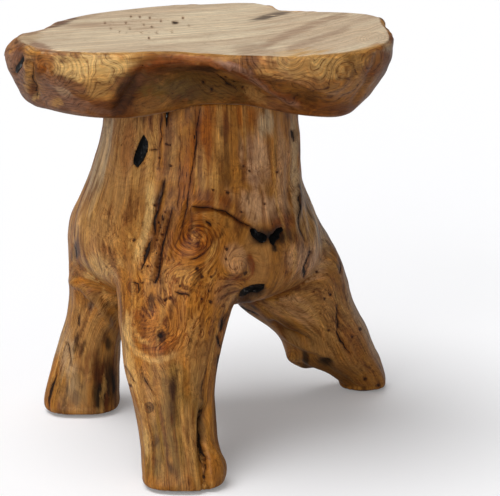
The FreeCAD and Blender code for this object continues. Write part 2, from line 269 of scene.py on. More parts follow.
def set_rows(piece, name, rows):
    """Store a vector for each vertex as a named attribute."""
    attribute = piece.data.attributes.new(name, "FLOAT_VECTOR", "POINT")
    attribute.data.foreach_set("vector", np.asarray(rows, np.float32).ravel())


# Marks in pixels: distances to strokes and patches


def stroke_offset(pixels, path):
    """Give each pixel's signed distance to a path's side, its distance to it, and its share along it."""
    path = np.asarray(path, float)
    lengths = np.linalg.norm(np.diff(path, axis=0), axis=1)
    starts = np.concatenate([[0], np.cumsum(lengths)])
    best = np.full(len(pixels), np.inf)
    side = np.zeros(len(pixels))
    share = np.zeros(len(pixels))
    for first, last, length, start in zip(path[:-1], path[1:], lengths, starts):
        heading = (last - first) / length
        offset = pixels - first
        run = offset @ heading
        lateral = offset[:, 1] * heading[0] - offset[:, 0] * heading[1]
        past = run - np.clip(run, 0, length)
        distance = np.hypot(lateral, past)
        nearer = distance < best
        best = np.where(nearer, distance, best)
        side = np.where(nearer, lateral, side)
        share = np.where(nearer, (start + run) / starts[-1], share)
    return side, best, share


def patch_distance(pixels, centre, reach, turn):
    """Give the distance from an oval's centre, 1 at its edge; the oval is turned clockwise by degrees."""
    offset = pixels - np.asarray(centre, float)
    cos, sin = math.cos(math.radians(turn)), math.sin(math.radians(turn))
    along = (offset[:, 0] * cos + offset[:, 1] * sin) / reach[0]
    aside = (offset[:, 1] * cos - offset[:, 0] * sin) / reach[1]
    return np.hypot(along, aside)


# The marks that a piece keeps as attributes
MARK_ROWS = ("paint", "grain", "figure", "tone", "crack", "speck")
# Where no mark is near: a crack's side distance, half width and pores, and a speck's offset and radius
NO_CRACK = (9.0, -3.0, 0.02)
NO_SPECK = (9.0, 9.0, -3.0)
# The cosine at which a point is in full sight, and at which it is pushed in full
FULL_SIGHT = 0.1
FULL_PUSH = 0.4
# How far in pixels a crack and a speck's edge are kept, and the sight that they need
CRACK_REACH = 5.5
SPECK_MARGIN = 2.0
MARK_SIGHT = 0.2


class Dressing:
    """The marks of one piece's surface: paint, grain, figure, tone, cracks and specks, and how far it is
    pushed out. The figure holds burl, ring count and ring strength. The tone holds the grain's contrast and
    the dullness."""

    def __init__(self, points, normals):
        count = len(points)
        self.points = points
        self.normals = normals
        self.pixels, _ = photo_pixels(points)
        self.sight = photo_sight(points, normals, FULL_SIGHT)
        self.front = photo_sight(points, normals, FULL_PUSH)
        self.push = np.zeros(count)
        self.paint = np.zeros((count, 3))
        self.grain = np.zeros((count, 3))
        self.figure = np.zeros((count, 3))
        self.tone = np.tile([1.0, 0.0, 0.0], (count, 1))
        self.crack = np.tile(NO_CRACK, (count, 1))
        self.speck = np.tile(NO_SPECK, (count, 1))
        self.ragged = np.zeros(count)
        self.drift = noise(points, *NOISES["drift"])
        self.wander = noise(points, *NOISES["wander"])

    def swell(self, centre, reach, turn, height):
        """Push an oval area out, or in where the height is below zero, with a soft edge."""
        away = patch_distance(self.pixels, centre, reach, turn)
        self.push += self.front * height * ease(1.0, 0.0, away)

    def ridge(self, path, half_width, height):
        """Push a stroke out, or in where the height is below zero, fading at its ends."""
        _, away, share = stroke_offset(self.pixels, path)
        ends = ease(-0.02, 0.15, share) * ease(1.02, 0.85, share)
        self.push += self.front * height * ends * ease(half_width, 0.0, away)

    def tint(self, centre, reach, turn, colour, strength):
        """Paint an oval area with a ragged edge."""
        away = patch_distance(self.pixels, centre, reach, turn) + 0.3 * self.ragged
        self.cover(colour, strength * self.sight * ease(1.2, 0.5, away))

    def band(self, path, half_width, colour, strength):
        """Paint a stroke with a ragged edge, fading at its ends."""
        _, away, share = stroke_offset(self.pixels, path)
        away = away / half_width + 0.35 * self.ragged
        ends = ease(-0.03, 0.1, share) * ease(1.03, 0.9, share)
        self.cover(colour, strength * self.sight * ends * ease(1.2, 0.4, away))

    def cover(self, colour, mask):
        """Mix a named colour over the paint."""
        self.paint += mask[:, None] * (np.array(COLOURS[colour]) - self.paint)

    def split(self, path, half_width, depth):
        """Cut a crack along a path: its side distance and half width are kept, so that it stays sharp."""
        side, away, share = stroke_offset(self.pixels, path)
        side = side + 0.9 * self.wander
        over = np.maximum(np.maximum(-share, share - 1), 0)
        taper = np.clip(2.2 * np.minimum(share, 1 - share) + 0.25, 0, 1)
        half = 0.75 * half_width * taper * (0.75 + 0.5 * self.drift) - 30 * over
        nearer = (away < CRACK_REACH) & (self.sight > MARK_SIGHT)
        nearer &= away - half < np.abs(self.crack[:, 0]) - self.crack[:, 1]
        self.crack[nearer, :2] = np.stack([side, half], axis=1)[nearer]
        self.push -= self.front * depth * ease(half_width + 1.6, 0.2, away) * (over == 0)

    def dots(self, centres, radius):
        """Mark small dark specks: each vertex keeps its offset from the nearest one."""
        for centre in centres:
            offset = self.pixels - np.asarray(centre, float)
            away = np.hypot(offset[:, 0], offset[:, 1])
            nearer = (away < radius + SPECK_MARGIN) & (self.sight > MARK_SIGHT)
            nearer &= away < np.hypot(self.speck[:, 0], self.speck[:, 1])
            self.speck[nearer, :2] = offset[nearer]
            self.speck[nearer, 2] = radius

    def pit(self, centre, reach, turn, amount):
        """Strew an oval area with pin holes; the amount is the share of places that have one."""
        away = patch_distance(self.pixels, centre, reach, turn)
        self.crack[:, 2] += amount * self.sight * ease(1.1, 0.5, away)

    def knot(self, centre, radius):
        """Bend the grain round a knot, as water parts round a post."""
        offset = self.pixels - np.asarray(centre, float)
        gap = np.sum(offset**2, axis=1) + 0.3 * radius**2
        self.grain[:, 0] -= self.sight * offset[:, 0] * radius**2 / gap

    def swirl(self, centre, radius, turns):
        """Turn the grain about a centre, most at the middle."""
        offset = self.pixels - np.asarray(centre, float)
        away = np.hypot(offset[:, 0], offset[:, 1]) / radius
        angle = 2 * math.pi * turns * np.exp(-away**2) * self.sight
        cos, sin = np.cos(angle) - 1, np.sin(angle)
        self.grain[:, 0] += offset[:, 0] * cos - offset[:, 1] * sin
        self.grain[:, 2] -= offset[:, 0] * sin + offset[:, 1] * cos

    def rings(self, centre, reach, turn, spacing, strength, where=1):
        """Draw ring lines round a centre: the phase counts rings, the strength fades at the edge."""
        away = patch_distance(self.pixels, centre, reach, turn) + 0.1 * self.drift
        mask = where * self.sight * ease(1.1, 0.7, away)
        phase = away * max(reach) / spacing
        self.figure[:, 1] += mask * (phase - self.figure[:, 1])
        self.figure[:, 2] = np.maximum(self.figure[:, 2] * (1 - mask), mask * strength)

    def store(self, piece, poles=False):
        """Keep the marks on the piece for its material. The poles that close its rings take the marks beside
        them."""
        for name in MARK_ROWS:
            rows = getattr(self, name)
            if poles:
                rows = np.concatenate([rows, rows[:1], rows[-1:]])
            set_rows(piece, name, rows)


def lay(draw, table, **more):
    """Draw each row of a table of marks."""
    for row in table.values():
        draw(*row, **more)


# Shader maths


class Wire:
    """A shader value: operators on it add Math nodes to its material."""

    def __init__(self, finish, socket):
        self.finish = finish
        self.socket = socket

    def math(self, operation, *values):
        """Add a Math node."""
        return self.finish.node("ShaderNodeMath", {"operation": operation}, dict(enumerate(values)))

    def __add__(self, other):
        return self.math("ADD", self, other)

    def __sub__(self, other):
        return self.math("SUBTRACT", self, other)

    def __rsub__(self, other):
        return self.math("SUBTRACT", other, self)

    def __mul__(self, other):
        return self.math("MULTIPLY", self, other)

    def __abs__(self):
        return self.math("ABSOLUTE", self)

    __radd__ = __add__
    __rmul__ = __mul__

    def most(self, other):
        """The greater of two values."""
        return self.math("MAXIMUM", self, other)

    def fold(self):
        """Run up and down between 0 and a half, once for each whole step of the value."""
        return self.math("PINGPONG", self, 0.5)

    def ease(self, low, high):
        """Rise smoothly from 0 at low to 1 at high."""
        values = {"Value": self, "From Min": low, "From Max": high}
        return self.finish.node("ShaderNodeMapRange", {"interpolation_type": "SMOOTHSTEP"}, values)


class Finish:
    """A material under construction: one Principled surface and the nodes that feed it."""

    def __init__(self, name, **constants):
        self.material = bpy.data.materials.new(name)
        self.material.use_nodes = True
        self.tree = self.material.node_tree
        self.surface = self.tree.nodes["Principled BSDF"]
        for socket, value in constants.items():
            self.surface.inputs[socket.replace("_", " ")].default_value = value

    def node(self, kind, settings, inputs, output=0):
        """Add a node: its settings first, then values or links for its sockets, by name or by place."""
        node = self.tree.nodes.new(kind)
        for setting, value in settings.items():
            setattr(node, setting, value)
        for place, value in inputs.items():
            if isinstance(value, Wire):
                self.tree.links.new(value.socket, node.inputs[place])
            else:
                node.inputs[place].default_value = value
        return Wire(self, node.outputs[output])

    def rows(self, name):
        """Read a vector attribute of the mesh."""
        return self.node("ShaderNodeAttribute", {"attribute_name": name}, {}, "Vector")

    def parts(self, vector):
        """Split a vector into its three values."""
        first = self.node("ShaderNodeSeparateXYZ", {}, {0: vector})
        return [Wire(self, socket) for socket in first.socket.node.outputs]

    def stretch(self, vector, factors):
        """Scale a vector by a factor along each axis."""
        return self.node("ShaderNodeVectorMath", {"operation": "MULTIPLY"}, {0: vector, 1: factors})

    def noise(self, vector, detail=3.0, roughness=0.55, distortion=0.0):
        """A smooth random pattern of about one unit in size."""
        values = {"Vector": vector, "Scale": 1.0, "Detail": detail, "Roughness": roughness}
        return self.node("ShaderNodeTexNoise", {}, {**values, "Distortion": distortion})

    def mix(self, first, second, share, blend="MIX"):
        """Mix two colours by a share."""
        colours = [value if isinstance(value, Wire) else (*value, 1.0) for value in (first, second)]
        settings = {"data_type": "RGBA", "blend_type": blend}
        return self.node("ShaderNodeMix", settings, {0: share, 6: colours[0], 7: colours[1]}, 2)

    def stain(self, colour, shade, share):
        """Multiply a colour by one of the wood's shades, by a share."""
        return self.mix(colour, SHADES[shade], share, "MULTIPLY")

    def bump(self, height, depth):
        """Turn a height into a normal; the depth is in metres."""
        return self.node("ShaderNodeBump", {}, {"Height": height, "Strength": 1.0, "Distance": depth})

    def feed(self, **wires):
        """Link values to the surface's sockets."""
        for socket, wire in wires.items():
            self.tree.links.new(wire.socket, self.surface.inputs[socket.replace("_", " ")])
        return self.material


# Patterns of the wood: scale across, through and along the grain, then detail, roughness and distortion
GRAIN_PATTERNS = {
    "hair": ((0.8, 0.8, 0.03), 2.0, 0.6, 0.0),
    "fibre": ((0.5, 0.5, 0.015), 4.0, 0.75, 0.0),
    "streak": ((0.17, 0.17, 0.005), 3.0, 0.6, 0.4),
    "curl": ((0.06, 0.06, 0.04), 3.0, 0.5, 1.8),
    "wobble": ((0.45, 0.45, 0.25), 4.0, 0.65, 0.0),
}
PORE_SCALE = (0.28, 0.28, 0.10)
WOOD_RELIEF = 0.0006

# What the paint is multiplied by
SHADES = {
    "dark_grain": (0.42, 0.31, 0.22),
    "light_grain": (1.6, 1.5, 1.35),
    "thread": (0.42, 0.28, 0.18),
    "dark_curl": (0.36, 0.19, 0.09),
    "light_curl": (1.35, 1.32, 1.15),
    "ring_line": (0.30, 0.18, 0.11),
    "ring_light": (1.3, 1.22, 1.1),
    "crack_edge": (0.40, 0.28, 0.22),
    "speck_edge": (0.55, 0.38, 0.28),
}


def lacquered_wood(name):
    """Lacquered wood from the piece's own marks: paint, grain, ring lines, burl, pores and cracks."""
    finish = Finish(name, Coat_Weight=0.05, Coat_Roughness=0.2, Specular_IOR_Level=0.14)
    paint = finish.rows("paint")
    grain = finish.rows("grain")
    burl, phase, rings = finish.parts(finish.rows("figure"))
    contrast, dull, _ = finish.parts(finish.rows("tone"))
    side, half, pores = finish.parts(finish.rows("crack"))
    across, down, radius = finish.parts(finish.rows("speck"))
    hair, fibre, streak, curl, wobble = (
        finish.noise(finish.stretch(grain, scale), *kind) for scale, *kind in GRAIN_PATTERNS.values()
    )

    # Streaks, fibres and hairs, darker and lighter than the paint
    figure = streak + burl * (curl - streak)
    veins = abs(figure - 0.44).ease(0.03, 0.0) * 0.6 + abs(figure - 0.56).ease(0.025, 0.0) * 0.4
    lined = 0.4 + curl.ease(0.4, 0.62) * 0.9
    dark = figure.ease(0.48, 0.28) * 0.5 + fibre.ease(0.48, 0.25) * 0.7 + hair.ease(0.47, 0.3) * lined
    dark = (dark + veins * wobble.ease(0.3, 0.6)) * contrast
    light = figure.ease(0.50, 0.72) * 0.75 + fibre.ease(0.50, 0.75) * 0.6 + hair.ease(0.53, 0.7) * lined
    light = light * contrast
    colour = finish.stain(paint, "dark_grain", dark)
    colour = finish.stain(colour, "light_grain", light)

    # Thin threads along the figure, and the burl's curls
    thread = (figure * 15.0 + wobble * 0.5).fold().ease(0.32, 0.5) * wobble.ease(0.32, 0.55) * contrast
    colour = finish.stain(colour, "thread", thread * 0.7)
    quilt = (curl * 3.6 + wobble * 0.6).fold()
    curly = burl.ease(0.5, 1.0)
    colour = finish.stain(colour, "dark_curl", quilt.ease(0.26, 0.5) * curly * 0.85)
    colour = finish.stain(colour, "light_curl", quilt.ease(0.24, 0.02) * curly)

    # Ring lines, each with finer ones between
    turn = phase + (wobble - 0.5) * 0.2 + (curl - 0.5) * 0.35
    wave = turn.fold()
    fine = (turn * 2.6 + 0.2).fold().ease(0.28, 0.48) * 0.5
    line = wave.ease(0.37, 0.48).most(fine) * rings * (0.45 + wobble.ease(0.4, 0.6) * 0.55)
    colour = finish.stain(colour, "ring_line", line)
    colour = finish.stain(colour, "ring_light", wave.ease(0.2, 0.02) * rings)

    # Cracks, specks and pin holes, with browned edges
    gap = abs(side + (wobble - 0.5) * 1.6) - half + wobble.ease(0.45, 0.65) * 0.5
    split = gap.ease(0.35, -0.25)
    colour = finish.stain(colour, "crack_edge", gap.ease(2.6, 0.0) * 0.7)
    reach = finish.node("ShaderNodeMath", {"operation": "SQRT"}, {0: across * across + down * down})
    hole = reach + (wobble - 0.5) * 3.0 - radius
    colour = finish.stain(colour, "speck_edge", hole.ease(2.2, 0.0) * 0.7)
    cells = {"Vector": finish.stretch(grain, PORE_SCALE), "Scale": 1.0, "Randomness": 1.0}
    pit = finish.node("ShaderNodeTexVoronoi", {}, cells)
    pick, size, _ = finish.parts(finish.node("ShaderNodeTexVoronoi", {}, cells, "Color"))
    pin = (pit - size * 0.16 - 0.06).ease(0.05, -0.05) * (pick + pores).ease(1.0, 1.01)
    black = split.most(hole.ease(0.6, -0.7) * 0.85).most(pin)
    colour = finish.mix(colour, COLOURS["soot"], black * 0.93)
    height = hair * 0.15 + fibre * 0.3 + figure * 0.5 - line * 0.3 - black * 2.0
    return finish.feed(
        Base_Color=colour,
        Roughness=0.42 + dull - light * 0.06 + dark * 0.1 + black * 0.2,
        Normal=finish.bump(height, WOOD_RELIEF),
    )


def black_resin():
    """Glossy black resin with faint flow marks."""
    finish = Finish("black_resin", Specular_IOR_Level=0.1, Coat_Roughness=0.1, Coat_IOR=1.9)
    place = finish.node("ShaderNodeTexCoord", {}, {}, "Object")
    cloud = finish.noise(finish.stretch(place, (130.0, 130.0, 130.0)))
    colour = finish.mix((0.0006, 0.0006, 0.0008), (0.004, 0.003, 0.003), cloud.ease(0.45, 0.75))
    return finish.feed(
        Base_Color=colour,
        Roughness=0.2 + cloud * 0.2,
        Coat_Weight=cloud.ease(0.58, 0.66),
        Normal=finish.bump(cloud, 0.0015),
    )


def turned_beech():
    """Plain pale peg wood with grain along the peg."""
    finish = Finish("peg_wood", Roughness=0.6)
    place = finish.node("ShaderNodeTexCoord", {}, {}, "Object")
    grain = finish.noise(finish.stretch(place, (420.0, 420.0, 22.0)), detail=4.0)
    fleck = finish.noise(finish.stretch(place, (1500.0, 1500.0, 160.0)), detail=2.0)
    colour = finish.mix((0.52, 0.34, 0.19), (0.68, 0.50, 0.32), grain.ease(0.35, 0.65))
    colour = finish.mix(colour, (0.36, 0.2, 0.1), fleck.ease(0.62, 0.75) * 0.6)
    return finish.feed(Base_Color=colour, Normal=finish.bump(grain, 0.0003))


def brown_felt():
    """Pressed brown felt: short tangled fibres."""
    finish = Finish("felt", Roughness=0.95, Sheen_Weight=0.35, Sheen_Roughness=0.5)
    place = finish.node("ShaderNodeTexCoord", {}, {}, "Object")
    tangle = finish.noise(finish.stretch(place, (900.0, 900.0, 900.0)), detail=4.0, distortion=2.0)
    colour = finish.mix((0.09, 0.065, 0.05), (0.22, 0.165, 0.125), tangle.ease(0.3, 0.7))
    return finish.feed(Base_Color=colour, Normal=finish.bump(tangle, 0.0008))


# The stump as a field: below zero inside the wood


def oval(x, y, centre_x, centre_y, left, right, front, back, power=2.0):
    """How far a point lies outside an oval with its own reach on each side, about in millimetres.
    A power above 2 makes the oval squarer."""
    across = x - centre_x
    along = y - centre_y
    wide = np.where(across > 0, right, left)
    deep = np.where(along > 0, back, front)
    away = (np.abs(across / wide) ** power + np.abs(along / deep) ** power) ** (1 / power)
    return (away - 1) * np.minimum(wide, deep)


def columns(rows, z):
    """Read each column of a station list at heights, smoothly."""
    rows = np.asarray(rows, float)
    values = spline(rows[:, 0], rows[:, 1:])(z)
    return [values[..., index] for index in range(values.shape[-1])]


def limbs(x, y, z):
    """The trunk and the three legs: each limb's field, and its grain as a place in its own section."""
    left, right, front, back = columns(TRUNK, z)
    arch = TRUNK[0][0] - z
    body = oval(x, y, *TRUNK_AXIS, left, right, front, back)
    fields = [ARCH_BLEND * np.logaddexp(body / ARCH_BLEND, arch / ARCH_BLEND)]
    places = [(TRUNK_GRAIN * (x - TRUNK_AXIS[0]) / left, TRUNK_GRAIN * (y - TRUNK_AXIS[1]) / front, z)]
    lift = np.clip((z - SOLE_Z) / FOOT_ROUND, 0, 1)
    rounding = FOOT_ROUND * (1 - np.sqrt(1 - (1 - lift) ** 2))
    power = 2 + FOOT_SQUARE * ease(*FOOT_SQUARE_FADE, z)
    for stations in LEGS.values():
        centre_x, centre_y, wide, deep = columns(stations, z)
        wide, deep = wide - rounding, deep - rounding
        field = oval(x, y, centre_x, centre_y, wide, wide, deep, deep, power)
        fields.append(np.maximum(field, z - stations[-1][0]))
        _, root_x, root_y, root_wide, root_deep = stations[-1]
        places.append((root_x - TRUNK_AXIS[0] + root_wide * (x - centre_x) / wide,
                       root_y - TRUNK_AXIS[1] + root_deep * (y - centre_y) / deep, z))
    return fields, places


def stump_field(x, y, z):
    """The limbs and lumps grown together: a soft minimum of their fields, sawn flat at top and soles."""
    fields, _ = limbs(x, y, z)
    for centre, radius in LUMPS.values():
        fields.append(np.sqrt(sum((a - b) ** 2 for a, b in zip((x, y, z), centre))) - radius)
    total = sum(np.exp(-field / LIMB_BLEND) for field in fields)
    grown = -LIMB_BLEND * np.log(total)
    return np.maximum(grown, np.maximum(SOLE_Z - z, z - JOINT_Z))


def net_surface(field, low, step):
    """Mesh the zero surface of a sampled field: a vertex in each crossed cell, at the mean of its edges'
    crossings, and a quad round each crossed edge, turned to face outwards."""
    inside = field < 0
    cells = np.array(field.shape) - 1
    crossings = []
    quads = []
    for axis in range(3):
        ahead = np.eye(3, dtype=int)[axis]
        edge = np.argwhere(np.diff(inside, axis=axis))
        start = field[tuple(edge.T)]
        end = field[tuple((edge + ahead).T)]
        crossings.append(edge + ahead * (start / (start - end))[:, None])
        u, v = np.eye(3, dtype=int)[[(axis + 1) % 3, (axis + 2) % 3]]
        around = [edge - u - v, edge - v, edge, edge - u]
        quad = np.stack([np.ravel_multi_index(cell.T, cells) for cell in around], axis=1)
        outward = inside[tuple(edge.T)]
        quads.append(np.where(outward[:, None], quad, quad[:, ::-1]))
    quads = np.concatenate(quads)
    crossings = np.repeat(np.concatenate(crossings), 4, axis=0)
    _, index = np.unique(quads, return_inverse=True)
    index = index.ravel()
    count = np.bincount(index)
    places = [np.bincount(index, weights=crossings[:, axis]) / count for axis in range(3)]
    return low + step * np.stack(places, axis=1), index.reshape(-1, 4)


def field_slope(points):
    """The stump field and its gradient at points, by central differences."""
    gap = 0.5
    slope = np.empty_like(points)
    for axis, step in enumerate(gap * np.eye(3)):
        ahead = points + step
        behind = points - step
        slope[:, axis] = (stump_field(*ahead.T) - stump_field(*behind.T)) / (2 * gap)
    return stump_field(*points.T), slope


# The box that holds the stump's field, and the step at which it is sampled
STUMP_STEP = 2.25
STUMP_LOW = np.array([-204.0, -204.0, -6.0])
STUMP_HIGH = np.array([204.0, 190.0, 362.0])
STUMP_PULLS = 2
LEAST_SLOPE = 0.05
# Heights between which the sculpting sets in above the soles, and ends below the joint
SOLE_FADE = (3, 14)
JOINT_FADE = (JOINT_Z + 8, JOINT_Z - 22)

# How the stump is sculpted, in pixels of the photo: centre, half sizes, turn and height in millimetres
STUMP_SWELLS = {
    "burl_dome": ((196, 238), (24, 24), 0, 5),
    "boss": ((240, 266), (15, 16), 0, 5),
    "knee_swirl": ((150, 335), (34, 34), 0, 4),
    "left_tendon_hollow": ((90, 308), (12, 16), 30, -5),
    "left_shoulder_swell": ((74, 262), (14, 18), 0, 3),
    "right_flank_hollow": ((290, 190), (8, 50), 0, -4),
    "crotch_hollow": ((252, 294), (20, 9), -20, -9),
    "right_leg_pocket": ((327, 363), (12, 8), 30, -6),
    "right_leg_bump": ((292, 357), (11, 12), 0, 4),
    "front_leg_left_hollow": ((137, 425), (8, 26), 0, -2),
}
# Raised strokes, and grooves where the height is below zero: the pixels that each runs through, half its
# width in pixels, and its height in millimetres
STUMP_RIDGES = {
    "toe_groove": ([(207, 402), (204, 420), (203, 445), (204, 465), (206, 484), (208, 508)], 7, -9),
    "left_tendon": ([(66, 278), (84, 286), (96, 300), (105, 314), (110, 330)], 7, 5),
    "right_fold": ([(268, 321), (283, 330), (297, 336), (312, 342)], 5, -5),
    "right_fold_ridge": ([(272, 330), (290, 338), (308, 346), (332, 356)], 6, 4),
    "flank_ridge": ([(296, 120), (297, 160), (298, 200), (299, 222)], 5, 3),
    "flank_crease": ([(303, 130), (305, 170), (308, 200), (312, 240)], 5, -3),
    "check_valley": ([(164, 180), (158, 205), (154, 232), (146, 256), (142, 270)], 7, -1.8),
    "second_valley": ([(172, 208), (166, 230), (161, 250), (157, 280)], 6, -1.6),
    "burl_left_edge": ([(190, 196), (184, 220), (177, 240), (170, 262)], 5, -2.5),
    "burl_brow": ([(192, 206), (210, 206), (227, 211), (252, 226)], 6, -3),
}
# Cracks: the pixels that each runs through, half its width in pixels, and its depth in millimetres
STUMP_CRACKS = {
    "under_shake": ([(162, 117), (161, 135), (160, 155), (159, 170)], 0.7, 0.5),
    "check_top": ([(165, 178), (161, 192), (158, 204)], 2.2, 1.0),
    "check": ([(158, 204), (155, 217), (153, 234)], 1.5, 1.5),
    "check_foot": ([(150, 239), (147, 248), (144, 257), (140, 269)], 2.0, 2.0),
    "second_check": ([(172, 208), (168, 220), (165, 232), (161, 250), (159, 263)], 1.1, 1.5),
    "second_check_foot": ([(160, 260), (158, 270), (155, 283)], 1.9, 2.0),
    "third_line": ([(181, 136), (180, 165), (179, 190), (178, 208)], 0.6, 0.4),
    "fourth_line": ([(200, 106), (198, 130), (193, 165), (188, 198), (183, 222), (176, 244)], 0.8, 0.6),
    "brow_crack": ([(192, 207), (201, 207.5), (209, 207)], 1.3, 1.5),
    "brow_line": ([(209, 207), (217, 209), (227, 212), (235, 217), (243, 222), (253, 228)], 0.7, 0.8),
    "burl_mark": ([(204, 222.5), (208, 224), (212, 226.5)], 1.2, 0.6),
    "burl_arc": ([(190, 260), (197, 259), (204, 255), (209, 248), (211, 240)], 0.9, 0.8),
    "knot_crescent": ([(134, 281), (138, 284), (139, 289), (137, 293)], 1.2, 0.6),
    "small_crack": ([(175, 291), (182, 293.5), (190, 296)], 1.0, 0.8),
    "right_slit": ([(292, 129), (292.5, 142)], 1.2, 0.8),
    "flank_slit": ([(296, 184), (300, 193), (304, 205)], 0.9, 0.6),
    "flank_line": ([(297, 195), (297, 220), (301, 231), (306, 241)], 0.9, 0.8),
    "pock_line": ([(311, 251), (307, 260), (305, 268)], 1.0, 0.8),
    "pock": ([(306, 266), (305, 272), (304, 278)], 1.9, 1.2),
    "shoulder_slit": ([(339, 258), (341, 268), (340, 274)], 1.5, 0.8),
    "right_leg_crack": ([(339, 305), (338, 318), (337, 330), (340, 340), (349, 353)], 1.2, 1.5),
    "left_leg_crack": ([(56, 374), (53, 390), (50, 402), (49, 412)], 1.0, 1.0),
    "left_leg_check": ([(67, 342), (69, 354), (71, 366)], 0.9, 0.8),
    "left_leg_line": ([(78, 314), (78, 327)], 0.9, 0.5),
    "purple_line": ([(73, 244), (75, 250), (77, 258)], 1.1, 0.8),
    "groove_dark": ([(208, 409), (206, 424), (205, 440), (206, 452), (207, 470), (207, 484)], 0.5, 0.6),
    "groove_left": ([(201, 414), (200, 430), (201, 450), (204, 466)], 1.0, 0.8),
    "edge_slit_top": ([(226, 314), (223, 324), (221, 332)], 1.3, 1.0),
    "edge_slit_middle": ([(218, 335), (219, 341), (220, 348)], 1.6, 1.0),
    "edge_slit_low": ([(219, 354), (218, 362), (217, 369)], 1.3, 1.0),
    "front_leg_line": ([(208, 369), (204, 384), (203, 400)], 0.8, 0.6),
    "front_leg_left_line": ([(124, 366), (129, 374), (135, 384)], 0.6, 0.5),
    "front_leg_thin": ([(142, 372), (148, 383), (154, 395)], 0.5, 0.3),
    "fork_edge": ([(234, 303), (244, 308), (258, 317)], 1.5, 0.6),
    "kidney_nick": ([(149, 150), (155, 149), (160, 149.5)], 0.6, 0.3),
}
# Small dark pin knots and worm holes, by radius
STUMP_SPECKS = {
    0.9: [(167, 144), (171, 145), (160, 158), (171, 166), (213, 190), (227, 192), (244, 166), (250, 171),
          (277, 172), (154, 205), (165, 212), (163, 219), (160, 227), (158, 222), (162, 234), (157, 240),
          (148, 266), (143, 283), (211, 277), (209, 291), (202, 299), (265, 204), (242, 212), (226, 259),
          (310, 252), (336, 248), (351, 336), (328, 329), (317, 272), (325, 299), (180, 286), (165, 300)],
    1.5: [(228, 193), (197, 269), (170, 298), (211, 302), (227, 249), (331, 295), (359, 329), (378, 385),
          (365, 378), (202, 277), (160, 336), (134, 240), (130, 386), (206, 478)],
    2.0: [(161, 336), (245, 273), (205, 411)],
}
# Pin holes: centre, half sizes, turn and the share of places that have one
STUMP_PITS = {
    "check": ((159, 225), (8, 40), 8, 0.25),
    "burl": ((205, 285), (30, 20), 0, 0.12),
    "brow": ((240, 185), (30, 20), 0, 0.05),
    "shoulder": ((78, 255), (12, 22), 0, 0.12),
    "right_shoulder": ((315, 265), (18, 18), 0, 0.1),
}
